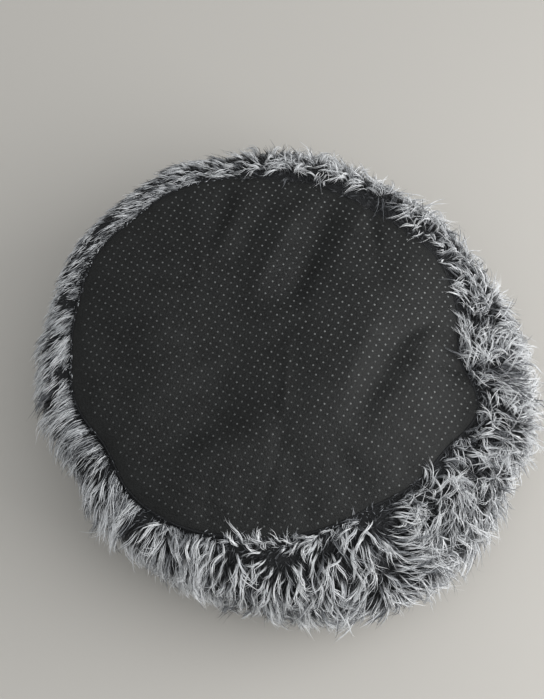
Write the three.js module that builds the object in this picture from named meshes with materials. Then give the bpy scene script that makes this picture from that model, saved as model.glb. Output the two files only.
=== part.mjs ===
import * as THREE from 'three';

// A round plush cat bed, turned upside down: the dotted base panel faces up and the padded
// fur rim stands on its crown, with the nest hollow opening downwards.
// Sizes are in millimetres, +Z is up, and the rim's crown rests on z = 0.

// Outer shape of the bed
const BASE_RADIUS = 190; // mean radius of the base panel at its seam
const RIM_OVERHANG = 60; // how far the pile tips reach out past that seam
const RIM_WIDTH = 146; // from the outer pile tips to the nest wall
const RIM_HEIGHT = 159; // from the floor to the pile beside the base seam
const BASE_EDGE_DROP = 3; // how far the base panel's seam lies below the top of that pile
const BASE_CROWN = 24; // how far the stuffed base panel swells above its seam
const BASE_FLAT_RADIUS = 32; // where the top of that swell is pressed flat
const BASE_SHIFT_X = -7; // how far the slumped base lies off the middle of the rim
const BASE_SHIFT_Y = 4;

// Fur fabric of the rim and the nest
const PILE_LOFT = 13; // backing and pile on the rim's outer wall
const CROWN_LOFT = 12; // the same where the bed's weight presses it on the floor
const NEST_LOFT = 22; // the same on the nest floor
const CROWN_FLAT = 11; // half the width of the ring that is pressed flat on the floor
const NEST_SEAM_INSET = 14; // how far the nest seam lies behind the pile of the wall
const NEST_CROWN = 10; // swell of the nest floor into the hollow
const SEAM_TUCK = 5; // depth of the valley in the pile along the base seam
const SEAM_VALLEY = 9; // width of that valley

// Base panel, lining and filling
const BASE_SHEET = 2.5; // dotted non-woven fabric with its foam backing
const LINING_SHEET = 1.2; // spunbond that closes the rim's tube of filling
const PAD_DEPTH = 44; // base filling between the nest seam and the base seam's height
const PAD_EDGE = 2; // base filling at its thin edge along the base seam
const SEAM_INSET = 0.7; // edge of the filling and lining behind the base seam
const FABRIC_GAP = 0.4; // free space between pieces that lie against each other

// Places and shapes given as shares
const CROWN_PLACE_SHARE = 0.534; // of the rim's width, from the outside in
const WAIST_HEIGHT_SHARE = 0.53; // of the rim's height
const ARC_SHARE = 0.88; // fullness of the rim's arcs: 1 is an ellipse, less is squarer
const SHOULDER_SHARE = 1.05; // the same for the pile above the waist
const CROWN_SHARE = 2; // how flat the middle of the base panel is
const EDGE_ROLL_SHARE = 0.8; // how steeply it rolls over at the seam
const LINING_SWELL_SHARE = { across: 0.45, up: 1.06 }; // where the lining's curve is drawn to

// Outlines seen from above, anticlockwise in steps of 15 degrees from the right-hand side
const BASE_OUTLINE_SHARES = [
  0.95, 0.98, 1.0, 0.95, 0.93, 0.95, 0.96, 1.0, 1.04, 1.05, 1.08, 1.06,
  1.05, 1.05, 0.99, 1.03, 1.02, 0.98, 0.96, 0.94, 0.93, 0.97, 0.99, 1.07,
];
const RIM_OUTLINE_SHARES = [
  1.02, 0.98, 0.9, 0.92, 0.92, 0.945, 0.97, 0.925, 0.935, 0.92, 0.9, 0.905,
  0.945, 0.935, 0.93, 0.93, 0.945, 0.965, 0.99, 1.035, 1.06, 1.05, 1.035, 1.045,
];

// Folds of the slack base panel: middle, half length, half width and height as shares of the
// base radius, and lean in degrees from +X. A fold with a negative height is a groove.
const FOLD_SHARES = [
  { x: 0.98, y: 0.1, lean: 85, length: 0.75, width: 0.3, height: -0.035 },
  { x: -0.26, y: -0.06, lean: 75, length: 0.42, width: 0.22, height: -0.03 },
  { x: -0.3, y: 0.71, lean: 75, length: 0.17, width: 0.05, height: -0.013 },
  { x: -0.12, y: 0.63, lean: 62, length: 0.19, width: 0.05, height: -0.013 },
  { x: 0, y: 0.53, lean: 64, length: 0.24, width: 0.055, height: 0.016 },
  { x: 0.17, y: 0.48, lean: 66, length: 0.36, width: 0.07, height: -0.036 },
  { x: 0.38, y: 0.62, lean: 68, length: 0.21, width: 0.061, height: 0.02 },
  { x: 0.43, y: 0, lean: 66, length: 0.22, width: 0.05, height: 0.007 },
  { x: 0.53, y: -0.14, lean: 60, length: 0.28, width: 0.08, height: -0.034 },
  { x: 0.76, y: -0.06, lean: 78, length: 0.2, width: 0.09, height: 0.016 },
  { x: -0.4, y: -0.43, lean: 24, length: 0.27, width: 0.102, height: -0.022 },
  { x: -0.27, y: 0.8, lean: 90, length: 0.12, width: 0.06, height: -0.014 },
];

// Fineness of the surfaces
const SIDES = 60;
const PANEL_RING_SHARES = [0.31, 0.44, 0.56, 0.67, 0.77, 0.86, 0.93, 0.98, 1];
const NEST_RING_SHARES = [0.4, 0.75, 1];
const LOWER_ARC_STEPS = 4;
const UPPER_PILE_STEPS = 4;
const UPPER_BACKING_STEPS = 3;
const WALL_STEPS = 5;
const LINING_STEPS = 5;

// Sizes that follow from those above
const rimRadius = BASE_RADIUS + RIM_OVERHANG;
const crownRadius = rimRadius - RIM_WIDTH * CROWN_PLACE_SHARE;
const nestRadius = rimRadius - RIM_WIDTH;
const baseEdgeHeight = RIM_HEIGHT - BASE_EDGE_DROP;
const nestSeamRadius = nestRadius + NEST_SEAM_INSET;
const nestBackHeight = baseEdgeHeight - PAD_DEPTH;
const nestFaceHeight = nestBackHeight - NEST_LOFT;
const waistHeight = RIM_HEIGHT * WAIST_HEIGHT_SHARE;
const seamRadius = BASE_RADIUS + FABRIC_GAP;
const padTopAtSeam = baseEdgeHeight - BASE_SHEET - FABRIC_GAP;
const padBottomAtSeam = padTopAtSeam - PAD_EDGE;
const liningBottomAtSeam = padBottomAtSeam - FABRIC_GAP - LINING_SHEET;
const coverBottomAtSeam = liningBottomAtSeam - 2 * FABRIC_GAP;
const foldedAbove = nestBackHeight;

// Shared shapes

const mix = (from, to, share) => from + (to - from) * share;
const smooth = (value, low, high) => THREE.MathUtils.smoothstep(value, low, high);

// A quarter of an oval round a centre, as steps of a turn from the side to the top or bottom.
function arc(centreR, centreZ, halfWidth, halfHeight, fromTurn, toTurn, steps, fullness = ARC_SHARE) {
  const power = (value) => Math.sign(value) * Math.abs(value) ** fullness;
  const points = [];
  for (let step = 0; step <= steps; step += 1) {
    const turn = mix(fromTurn, toTurn, step / steps) * Math.PI / 2;
    const across = Math.abs(Math.cos(turn)) < 1e-9 ? 0 : power(Math.cos(turn));
    const up = Math.abs(Math.sin(turn)) < 1e-9 ? 0 : power(Math.sin(turn));
    points.push(new THREE.Vector2(centreR + halfWidth * across, centreZ + halfHeight * up));
  }
  return points;
}

// The rim's outer wall at a depth below the pile tips, from the crown up to the waist.
function outerLowerArc(crownR, loft, crownLoft) {
  const foot = crownR + CROWN_FLAT;
  const halfWidth = rimRadius - loft - foot;
  const halfHeight = waistHeight - crownLoft;
  return arc(foot, waistHeight, halfWidth, halfHeight, -1, 0, LOWER_ARC_STEPS);
}

// The rim's inner wall, from the nest seam down to the crown.
function innerArc(crownR, topR, topZ, crownLoft) {
  const foot = crownR - CROWN_FLAT;
  return arc(foot, topZ, foot - topR, topZ - crownLoft, -2, -1, WALL_STEPS);
}

// The underside of the lining, from the nest seam out to the base seam.
function liningCurve() {
  const inner = new THREE.Vector2(nestSeamRadius + 1.5 * FABRIC_GAP, nestBackHeight + FABRIC_GAP);
  const outer = new THREE.Vector2(seamRadius - SEAM_INSET, liningBottomAtSeam);
  const swell = new THREE.Vector2(
    mix(inner.x, outer.x, LINING_SWELL_SHARE.across),
    mix(inner.y, outer.y, LINING_SWELL_SHARE.up),
  );
  return new THREE.QuadraticBezierCurve(inner, swell, outer).getPoints(LINING_STEPS);
}

const raised = (points, height) => points.map((p) => new THREE.Vector2(p.x, p.y + height));

// The base panel's outer face over a radius, before its folds.
function panelHeight(radius) {
  const share = Math.max(radius, BASE_FLAT_RADIUS) / BASE_RADIUS;
  const swell = (1 - Math.min(share, 1) ** CROWN_SHARE) ** EDGE_ROLL_SHARE;
  return baseEdgeHeight + BASE_CROWN * swell;
}

// Rings of the base panel from the middle out, at a depth below its outer face.
function panelRings(depth, edgeRadius) {
  const radii = [BASE_FLAT_RADIUS, ...PANEL_RING_SHARES.map((share) => share * BASE_RADIUS)];
  const rings = radii.map((radius) => {
    const kept = Math.min(radius, edgeRadius);
    return new THREE.Vector2(kept, panelHeight(radius) - depth);
  });
  return [new THREE.Vector2(0, panelHeight(0) - depth), ...rings];
}

// Rings of the nest floor from the middle out, swelling down into the hollow.
function nestRings(edgeRadius, edgeHeight) {
  return [0, ...NEST_RING_SHARES].map((share) => {
    const drop = NEST_CROWN * (1 - share ** 2);
    return new THREE.Vector2(edgeRadius * share, edgeHeight - drop);
  });
}

// How the bed lies: the outline is uneven and the slack base panel is folded

// A smooth closed outline through its shares, at an angle from +X.
function outlineShare(shares, angle) {
  const place = (angle / (2 * Math.PI) + 1) % 1 * shares.length;
  const first = Math.floor(place);
  const at = (index) => shares[(index + shares.length) % shares.length];
  const t = place - first;
  const slopeIn = (at(first + 1) - at(first - 1)) / 2;
  const slopeOut = (at(first + 2) - at(first)) / 2;
  const curve = at(first) * (1 + 2 * t) * (1 - t) ** 2 + at(first + 1) * t ** 2 * (3 - 2 * t);
  return curve + slopeIn * t * (1 - t) ** 2 + slopeOut * t ** 2 * (t - 1);
}

// Height that the folds add at a place on the base panel.
function foldHeight(x, y) {
  const still = smooth(Math.hypot(x, y), 1.1 * BASE_FLAT_RADIUS, 2 * BASE_FLAT_RADIUS);
  return FOLD_SHARES.reduce((height, fold) => {
    const lean = THREE.MathUtils.degToRad(fold.lean);
    const dx = x / BASE_RADIUS - fold.x;
    const dy = y / BASE_RADIUS - fold.y;
    const along = (dx * Math.cos(lean) + dy * Math.sin(lean)) / fold.length;
    const across = (dy * Math.cos(lean) - dx * Math.sin(lean)) / fold.width;
    const shape = Math.exp(-(along ** 4) - across ** 2);
    return height + still * fold.height * BASE_RADIUS * shape;
  }, 0);
}

// Moves a point of the even, round bed to where it lies on the real one.
function settle(point) {
  const radius = Math.hypot(point.x, point.y);
  const angle = Math.atan2(point.y, point.x);
  const nearBase = smooth(point.z, waistHeight, baseEdgeHeight);
  const outward = smooth(radius, nestRadius, rimRadius);
  const rimShare = mix(1, outlineShare(RIM_OUTLINE_SHARES, angle), outward);
  const baseShare = outlineShare(BASE_OUTLINE_SHARES, angle);
  const share = mix(rimShare, baseShare, nearBase);
  const x = radius * share * Math.cos(angle);
  const y = radius * share * Math.sin(angle);
  const folded = smooth(point.z, foldedAbove, baseEdgeHeight);
  return point.set(
    x + nearBase * BASE_SHIFT_X,
    y + nearBase * BASE_SHIFT_Y,
    point.z + folded * foldHeight(x, y),
  );
}

// The corners of a profile turned round the Z axis and settled, with the index of each one. A point
// on the axis makes one corner, and any other a ring of them.
function settledRings(profile) {
  const corners = [];
  const rings = profile.map((point) => {
    const sides = point.x === 0 ? 1 : SIDES;
    return Array.from({ length: sides }, (_, side) => {
      const angle = 2 * Math.PI * side / SIDES;
      const corner = new THREE.Vector3(point.x * Math.cos(angle), point.x * Math.sin(angle), point.y);
      return corners.push(settle(corner)) - 1;
    });
  });
  return { corners, rings };
}

// The two triangles between two rings on one side. They meet along the corner of the narrower ring
// that comes first, so pieces that lie against each other have facets alike.
function sideFaces(lower, upper, narrowerFirst, side) {
  const next = (side + 1) % SIDES;
  if (lower.length === 1) return [lower[0], upper[next], upper[side]];
  if (upper.length === 1) return [lower[side], lower[next], upper[0]];
  const [a, b, c, d] = [lower[side], lower[next], upper[next], upper[side]];
  return narrowerFirst ? [a, b, c, a, c, d] : [a, b, d, b, c, d];
}

// A closed body turned from a profile. The profile runs outwards along the bottom, up, and inwards
// along the top, and either starts and ends on the axis or goes round a tube.
function turned(name, profile, material) {
  const { corners, rings } = settledRings(profile);
  const isTube = profile[0].x > 0;
  const bands = isTube ? rings.length : rings.length - 1;
  const faces = [];
  for (let band = 0; band < bands; band += 1) {
    const after = (band + 1) % rings.length;
    const narrowerFirst = profile[band].x <= profile[after].x;
    for (let side = 0; side < SIDES; side += 1) {
      faces.push(...sideFaces(rings[band], rings[after], narrowerFirst, side));
    }
  }
  const geometry = new THREE.BufferGeometry().setFromPoints(corners);
  geometry.setIndex(faces);
  geometry.computeVertexNormals();
  const mesh = new THREE.Mesh(geometry, material);
  mesh.name = name;
  return mesh;
}

const fabric = (color, roughness) => new THREE.MeshStandardMaterial({ color, roughness, metalness: 0 });
const SILVER_FUR = fabric(0x9b9da0, 0.9);
const BLACK_NONWOVEN = fabric(0x2b2d2e, 0.7);
const PALE_SPUNBOND = fabric(0xc4c4bf, 0.85);
const WHITE_FIBRE = fabric(0xe6e4de, 0.95);

// Pieces of the bed

// Dotted non-woven panel that the bed stands on in use, swollen by the filling behind it.
function basePanel() {
  const outside = panelRings(0, BASE_RADIUS);
  const inside = panelRings(BASE_SHEET, BASE_RADIUS);
  return turned('base_panel', [...inside, ...outside.reverse()], BLACK_NONWOVEN);
}

// Long-pile outer wall of the rim, from the crown on the floor up to the base seam.
function rimCoverOuter() {
  const crownR = crownRadius + FABRIC_GAP / 2;
  const topR = seamRadius + SEAM_VALLEY;
  const half = { width: rimRadius - topR, height: RIM_HEIGHT - waistHeight };
  const shoulder = arc(
    topR, waistHeight, half.width, half.height, 0, 1, UPPER_PILE_STEPS, SHOULDER_SHARE,
  );
  const pile = [
    new THREE.Vector2(crownR, 0),
    ...outerLowerArc(crownR, 0, 0),
    ...shoulder.slice(1),
    new THREE.Vector2(seamRadius, RIM_HEIGHT - SEAM_TUCK),
  ];
  const backing = [
    ...upperBacking(0).reverse(),
    ...outerLowerArc(crownR, PILE_LOFT, CROWN_LOFT).reverse().slice(1),
    new THREE.Vector2(crownR, CROWN_LOFT),
  ];
  return turned('rim_cover_outer', [...pile, ...backing], SILVER_FUR);
}

// The backing of the outer wall from the waist up to the base seam, at a clearance inside it.
function upperBacking(clearance) {
  const halfWidth = rimRadius - PILE_LOFT - seamRadius - clearance;
  const halfHeight = coverBottomAtSeam - waistHeight - clearance;
  return arc(seamRadius, waistHeight, halfWidth, halfHeight, 0, 1, UPPER_BACKING_STEPS);
}

// Long-pile inner wall of the rim, from the nest seam down to the crown.
function rimCoverInner() {
  const crownR = crownRadius - FABRIC_GAP / 2;
  const pile = innerArc(crownR, nestRadius, nestFaceHeight, 0);
  const backing = innerArc(crownR, nestSeamRadius, nestBackHeight, CROWN_LOFT).reverse();
  const crown = [new THREE.Vector2(crownR, 0), new THREE.Vector2(crownR, CROWN_LOFT)];
  return turned('rim_cover_inner', [...pile, ...crown, ...backing], SILVER_FUR);
}

// Plush floor of the nest, sewn to the inner wall along a bevelled edge.
function nestCover() {
  const face = nestRings(nestRadius - FABRIC_GAP, nestFaceHeight);
  const back = nestRings(nestSeamRadius - FABRIC_GAP, nestBackHeight);
  return turned('nest_cover', [...face, ...back.reverse()], SILVER_FUR);
}

// Spunbond ring that closes the rim's tube, from the nest seam to the base seam.
function innerLining() {
  const under = liningCurve();
  const over = raised(under, LINING_SHEET).reverse();
  return turned('inner_lining', [...under, ...over], PALE_SPUNBOND);
}

// Loose fibre that fills the rim's tube.
function rimFilling() {
  const crown = CROWN_LOFT + FABRIC_GAP;
  const outer = outerLowerArc(crownRadius, PILE_LOFT + FABRIC_GAP, crown);
  const upper = upperBacking(FABRIC_GAP).slice(1);
  const top = raised(liningCurve(), -FABRIC_GAP).reverse();
  const inner = innerArc(crownRadius, nestSeamRadius + FABRIC_GAP, nestBackHeight, crown);
  return turned('rim_filling', [...outer, ...upper, ...top, ...inner], WHITE_FIBRE);
}

// Fibre pad behind the whole base panel, over the nest floor and the lining.
function baseFilling() {
  const overNest = nestRings(nestSeamRadius - FABRIC_GAP, nestBackHeight + FABRIC_GAP);
  const overLining = raised(liningCurve(), LINING_SHEET + FABRIC_GAP);
  const underPanel = panelRings(BASE_SHEET + FABRIC_GAP, seamRadius - SEAM_INSET).reverse();
  return turned('base_filling', [...overNest, ...overLining, ...underPanel], WHITE_FIBRE);
}

// Puts the middle of the bed's outline over the origin.
function centred(group) {
  const middle = new THREE.Box3().setFromObject(group).getCenter(new THREE.Vector3());
  group.position.set(-middle.x, -middle.y, 0);
  return group;
}

const catBed = new THREE.Group();
catBed.name = 'cat_bed';
catBed.add(
  basePanel(),
  baseFilling(),
  innerLining(),
  rimFilling(),
  rimCoverOuter(),
  rimCoverInner(),
  nestCover(),
);

export default centred(catBed);
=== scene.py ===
"""A round plush cat bed that lies upside down: its dotted base panel faces up, with the
long-pile rim bulging out all round it. Sizes are in metres."""

from __future__ import annotations

import logging
import math
from dataclasses import dataclass, field, fields, replace
from enum import Enum
from typing import Any, Optional, Sequence

import bpy
import numpy as np
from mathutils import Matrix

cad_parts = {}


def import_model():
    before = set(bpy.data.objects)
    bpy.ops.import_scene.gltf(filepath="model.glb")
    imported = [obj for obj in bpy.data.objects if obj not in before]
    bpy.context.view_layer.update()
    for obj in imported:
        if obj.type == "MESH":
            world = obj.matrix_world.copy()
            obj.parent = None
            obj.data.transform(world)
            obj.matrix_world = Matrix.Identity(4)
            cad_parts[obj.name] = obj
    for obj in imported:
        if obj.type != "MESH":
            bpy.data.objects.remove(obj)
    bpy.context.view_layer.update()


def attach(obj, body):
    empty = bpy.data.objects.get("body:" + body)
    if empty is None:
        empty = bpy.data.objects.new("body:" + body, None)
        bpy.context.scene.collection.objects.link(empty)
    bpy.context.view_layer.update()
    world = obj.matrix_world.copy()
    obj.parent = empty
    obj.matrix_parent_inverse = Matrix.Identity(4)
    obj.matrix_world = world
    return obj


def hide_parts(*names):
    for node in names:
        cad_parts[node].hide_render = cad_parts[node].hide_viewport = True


Array = np.ndarray
Color = tuple[float, float, float]
Place = tuple[float, float, float]
Pair = tuple[float, float]
Noise = tuple[float, float, float]  # its scale in lumps a metre, its detail and its roughness
Around = tuple[float, ...]
BODY = "root"
MAP_NAME = "OFBake"
MAP_EDGE = 0.005  # where the fur's tones start on its map
MAP_SPAN = 0.97  # how far they run
MAP_STRIP = 0.004  # how wide one side of a hair is
MAP_LEVELS = (0.01, 0.98)  # root and tip
log = logging.getLogger("cat_bed")


# Numbers


def mix(low: Any, high: Any, share: Any) -> Any:
    """The value that lies a share of the way from low to high."""
    return low + (high - low) * share


def smooth(value: Array, low: Array | float, high: Array | float) -> Array:
    """A soft step from 0 at low to 1 at high."""
    share = np.clip((value - low) / (high - low), 0, 1)
    return share * share * (3 - 2 * share)


def unit(vectors: Array) -> Array:
    """The vectors scaled to length 1."""
    return vectors / np.maximum(np.linalg.norm(vectors, axis=-1, keepdims=True), 1e-12)


def around(shares: Sequence[float], angle: Array) -> Array:
    """A smooth closed curve through even steps of angle.

    The curve is a cubic through each pair of neighbours, with the slope at each of them half
    the rise between its own neighbours.

    Args:
        shares: the values at even steps, anticlockwise from +X.
        angle: where to read the curve, in radians.

    Returns:
        The value at each angle.
    """
    table = np.asarray(shares, float)
    place = (np.asarray(angle) / math.tau) % 1 * len(table)
    first = np.floor(place).astype(int)
    t = place - first
    before, here, there, after = (table[(first + step) % len(table)] for step in (-1, 0, 1, 2))
    curve = here * (1 + 2 * t) * (1 - t) ** 2 + there * t**2 * (3 - 2 * t)
    return curve + (there - before) / 2 * t * (1 - t) ** 2 + (after - here) / 2 * t**2 * (t - 1)


def turned_about(vectors: Array, axis: Array, angle: Array) -> Array:
    """Vectors turned about axes: the part along the axis stays and the rest goes round it.

    Args:
        vectors: what is turned, as (..., 3).
        axis: unit axes.
        angle: how far, in radians.

    Returns:
        The turned vectors.
    """
    cos, sin = np.cos(angle)[..., None], np.sin(angle)[..., None]
    along = np.sum(vectors * axis, axis=-1, keepdims=True) * axis
    return along + (vectors - along) * cos + np.cross(axis, vectors) * sin


def waves(points: Array, scale: float, seed: int, count: int = 24) -> Array:
    """Smooth lumpy noise of about -1 to 1: many plane waves of one scale in random directions.

    Args:
        points: places, as (..., 3).
        scale: the usual length of a lump, in metres.
        seed: which noise it is.
        count: how many waves are added up.

    Returns:
        The noise at each point.
    """
    rng = np.random.default_rng(seed)
    heading = unit(rng.normal(size=(count, 3))) * rng.uniform(0.6, 1.5, (count, 1))
    phase = rng.uniform(0, math.tau, count)
    return np.sin(points @ heading.T * (math.tau / scale / 2) + phase).sum(-1) / math.sqrt(count)


# The bed's shape


@dataclass(frozen=True)
class Fold:
    """A fold of the base panel: its middle, lean in degrees and sizes, as shares of the radius."""

    x: float
    y: float
    lean: float
    length: float
    width: float
    height: float


@dataclass(frozen=True)
class BedShape:
    """The even, round bed as profiles of (radius, height), and how it settles where it lies."""

    base_radius: float = 0.190
    rim_overhang: float = 0.060
    rim_width: float = 0.146
    rim_height: float = 0.159
    base_edge_drop: float = 0.003
    base_crown: float = 0.024
    base_flat_radius: float = 0.032
    base_shift: Pair = (-0.007, 0.004)
    middle: Pair = (-0.00465, 0.00431)
    pile_loft: float = 0.013
    crown_loft: float = 0.012
    crown_flat: float = 0.011
    nest_seam_inset: float = 0.014
    nest_crown: float = 0.010
    pad_depth: float = 0.044
    base_sheet: float = 0.0025
    lining_sheet: float = 0.0012
    fabric_gap: float = 0.0004
    seam_inset: float = 0.0007
    pad_edge: float = 0.002
    fullness: float = 0.88
    crown_share: float = 0.534
    waist_share: float = 0.53
    crown_gap: float = 0.0002
    crown_fall: float = 0.8
    rolled: float = 0.2
    lining_pull: Pair = (0.45, 1.06)
    base_outline: Around = (
        0.95, 0.98, 1.0, 0.95, 0.93, 0.95, 0.96, 1.0, 1.04, 1.05, 1.08, 1.06,
        1.05, 1.05, 0.99, 1.03, 1.02, 0.98, 0.96, 0.94, 0.93, 0.97, 0.99, 1.07,
    )  # fmt: skip
    rim_outline: Around = (
        1.02, 0.98, 0.9, 0.92, 0.92, 0.945, 0.97, 0.925, 0.935, 0.92, 0.9, 0.905,
        0.945, 0.935, 0.93, 0.93, 0.945, 0.965, 0.99, 1.035, 1.06, 1.05, 1.035, 1.045,
    )  # fmt: skip
    folds: tuple[Fold, ...] = (
        Fold(-0.30, 0.71, 75, 0.17, 0.046, -0.013),
        Fold(-0.23, 0.69, 65, 0.19, 0.041, 0.014),
        Fold(-0.12, 0.63, 62, 0.19, 0.046, -0.013),
        Fold(0.00, 0.53, 64, 0.24, 0.052, 0.018),
        Fold(0.17, 0.48, 66, 0.36, 0.070, -0.036),
        Fold(0.38, 0.62, 68, 0.21, 0.061, 0.020),
        Fold(0.51, 0.65, -83, 0.16, 0.035, -0.014),
        Fold(0.43, 0.0, 66, 0.22, 0.050, 0.007),
        Fold(0.53, -0.14, 60, 0.28, 0.080, -0.034),
        Fold(0.76, -0.06, 78, 0.20, 0.090, 0.016),
        Fold(0.72, 0.11, 34, 0.15, 0.041, -0.016),
        Fold(0.83, 0.02, 17, 0.07, 0.067, 0.015),
        Fold(0.92, -0.07, -10, 0.12, 0.031, -0.016),
        Fold(-0.40, -0.43, 24, 0.27, 0.102, -0.022),
        Fold(-0.27, 0.8, 90, 0.12, 0.06, -0.014),
    )
    creases: tuple[Fold, ...] = (
        Fold(1.04, 0.06, 85, 0.85, 0.26, -0.110),
        Fold(-0.62, 0.06, -85, 0.30, 0.12, 0.016),
        Fold(-0.26, -0.06, 75, 0.42, 0.22, -0.030),
        Fold(0.36, -0.02, 78, 0.50, 0.24, 0.030),
        Fold(-0.12, -0.48, 26, 0.42, 0.16, 0.018),
        Fold(-0.32, 0.31, -13, 0.37, 0.031, -0.008),
        Fold(0.05, -0.18, 86, 0.20, 0.026, 0.006),
        Fold(-0.03, -0.67, 75, 0.27, 0.031, -0.007),
        Fold(-0.38, -0.76, -22, 0.19, 0.026, 0.006),
        Fold(-0.39, 0.46, -88, 0.10, 0.020, 0.006),
        Fold(-0.25, 0.04, -35, 0.15, 0.046, -0.008),
        Fold(0.02, 0.05, 38, 0.13, 0.046, -0.006),
        Fold(-0.43, -0.14, 30, 0.26, 0.036, 0.005),
    )
    relief: Optional[Array] = None
    relief_reach: float = 0.215

    @property
    def rim_radius(self) -> float:
        """Mean radius of the pile tips at the waist."""
        return self.base_radius + self.rim_overhang

    @property
    def crown_radius(self) -> float:
        """Radius of the ring that the bed lies on."""
        return self.rim_radius - self.rim_width * self.crown_share

    @property
    def nest_radius(self) -> float:
        """Radius of the nest floor at the pile tips."""
        return self.rim_radius - self.rim_width

    @property
    def nest_seam(self) -> Pair:
        """Where the nest floor is sewn to the inner wall."""
        return self.nest_radius + self.nest_seam_inset, self.base_edge - self.pad_depth

    @property
    def base_edge(self) -> float:
        """Height of the base panel's seam."""
        return self.rim_height - self.base_edge_drop

    @property
    def waist(self) -> float:
        """Height at which the rim is widest."""
        return self.rim_height * self.waist_share

    @property
    def seam_radius(self) -> float:
        """Radius of the rim's fabric where it meets the base panel."""
        return self.base_radius + self.fabric_gap

    @property
    def cover_top(self) -> float:
        """Height of the rim's backing at the base seam."""
        pad_bottom = self.base_edge - self.base_sheet - self.fabric_gap - self.pad_edge
        return pad_bottom - self.lining_sheet - 3 * self.fabric_gap

    def arc(self, centre: Pair, half: Pair, turns: Pair, steps: int) -> Array:
        """A quarter or more of a squarish oval: the sine and cosine to a power just under 1.

        Args:
            centre: radius and height of the oval's middle.
            half: half its width and half its height.
            turns: where it starts and ends, in quarter turns from its outer side.
            steps: how many steps it has.

        Returns:
            Points as (steps + 1, 2).
        """
        turn = np.linspace(*turns, steps + 1) * math.pi / 2
        across, up = np.round(np.cos(turn), 12), np.round(np.sin(turn), 12)
        shape = np.stack([across, up], -1)
        return np.asarray(centre) + np.asarray(half) * np.sign(shape) * np.abs(shape) ** self.fullness

    def outer_backing(self, steps: int = 24, depth: float = 0.0) -> Array:
        """The rim's outer backing: two squarish quarter ovals, from the seam and down to the crown.

        Args:
            steps: how many steps each quarter has.
            depth: how far inside the backing it runs, in metres.

        Returns:
            The profile as (radius, height).
        """
        reach = self.rim_radius - self.pile_loft - depth
        foot, low = self.crown_radius + self.crown_flat, self.crown_loft + depth
        top = self.cover_top - self.waist - depth
        upper = self.arc((self.seam_radius, self.waist), (reach - self.seam_radius, top), (1, 0), steps)
        lower = self.arc((foot, self.waist), (reach - foot, self.waist - low), (0, -1), steps)
        return np.concatenate([upper, lower[1:], [(self.crown_radius + self.crown_gap, low)]])

    def inner_backing(self, steps: int = 24, depth: float = 0.0) -> Array:
        """The rim's inner backing: one squarish quarter oval, from the nest seam down to the crown.

        Args:
            steps: how many steps it has.
            depth: how far inside the backing it runs, in metres.

        Returns:
            The profile as (radius, height).
        """
        foot, low = self.crown_radius - self.crown_flat, self.crown_loft + depth
        seam, top = self.nest_seam
        half = (foot - seam - depth, top - low)
        wall = self.arc((foot, top), half, (-2, -1), steps)
        return np.concatenate([wall, [(self.crown_radius - self.crown_gap, low)]])

    def lining(self, steps: int = 24) -> Array:
        """The lining's underside: a curve of the second degree that one point draws upwards.

        Args:
            steps: how many steps it has.

        Returns:
            The profile from the nest seam out to the base seam.
        """
        seam, top = self.nest_seam
        inner = np.array([seam + 1.5 * self.fabric_gap, top + self.fabric_gap])
        edge = self.cover_top + 2 * self.fabric_gap
        outer = np.array([self.seam_radius - self.seam_inset, edge])
        pulled = mix(inner, outer, np.array(self.lining_pull))
        t = np.linspace(0, 1, steps + 1)[:, None]
        return inner * (1 - t) ** 2 + pulled * 2 * t * (1 - t) + outer * t**2

    def panel(self, steps: int = 60, depth: float = 0.0, reach: float = 1.0) -> Array:
        """The base panel's face, whose steps are shorter where it rolls over into its seam.

        Args:
            steps: how many steps each of its two stretches has.
            depth: how far below the face it runs, in metres.
            reach: its width as a share of the panel's.

        Returns:
            The profile from the middle out to the seam.
        """
        flat = np.linspace(0, 1 - self.rolled, steps)[:-1]
        edge = 1 - self.rolled * np.linspace(1, 0, steps) ** 2
        radius = np.concatenate([flat, edge]) * self.base_radius
        return np.stack([radius * reach, self.panel_height(radius) - depth], -1)

    def panel_height(self, radius: Array) -> Array:
        """Height of the panel's face before its folds: 1 minus the square of the share, to a power."""
        share = np.clip(np.maximum(radius, self.base_flat_radius) / self.base_radius, 0, 1)
        return self.base_edge + self.base_crown * (1 - share**2) ** self.crown_fall

    def nest_floor(self, radius: float, height: float, steps: int = 24) -> Array:
        """A nest floor from its middle out, which swells down by 1 minus the square of the share."""
        share = np.linspace(0, 1, steps + 1)
        return np.stack([radius * share, height - self.nest_crown * (1 - share**2)], -1)

    def fold_height(self, x: Array, y: Array) -> Array:
        """Height that folds, creases and puckers add; the folds keep off the flat middle."""
        still = smooth(np.hypot(x, y), 1.1 * self.base_flat_radius, 2 * self.base_flat_radius)
        return self.swell(self.folds, x, y) * still + self.swell(self.creases, x, y) + self.puckers(x, y)

    def puckers(self, x: Array, y: Array) -> Array:
        """The simulated relief, read between its four nearest cells.

        Args:
            x: places across, before the shift.
            y: places in depth.

        Returns:
            The height that it adds.
        """
        if self.relief is None:
            return np.zeros_like(x)
        last = len(self.relief) - 1
        column, row = (np.clip((axis / self.relief_reach + 1) / 2, 0, 0.9999) * last for axis in (x, y))
        c, r = np.floor(column).astype(int), np.floor(row).astype(int)
        low = mix(self.relief[r, c], self.relief[r, c + 1], column - c)
        high = mix(self.relief[r + 1, c], self.relief[r + 1, c + 1], column - c)
        return mix(low, high, row - r)

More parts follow.
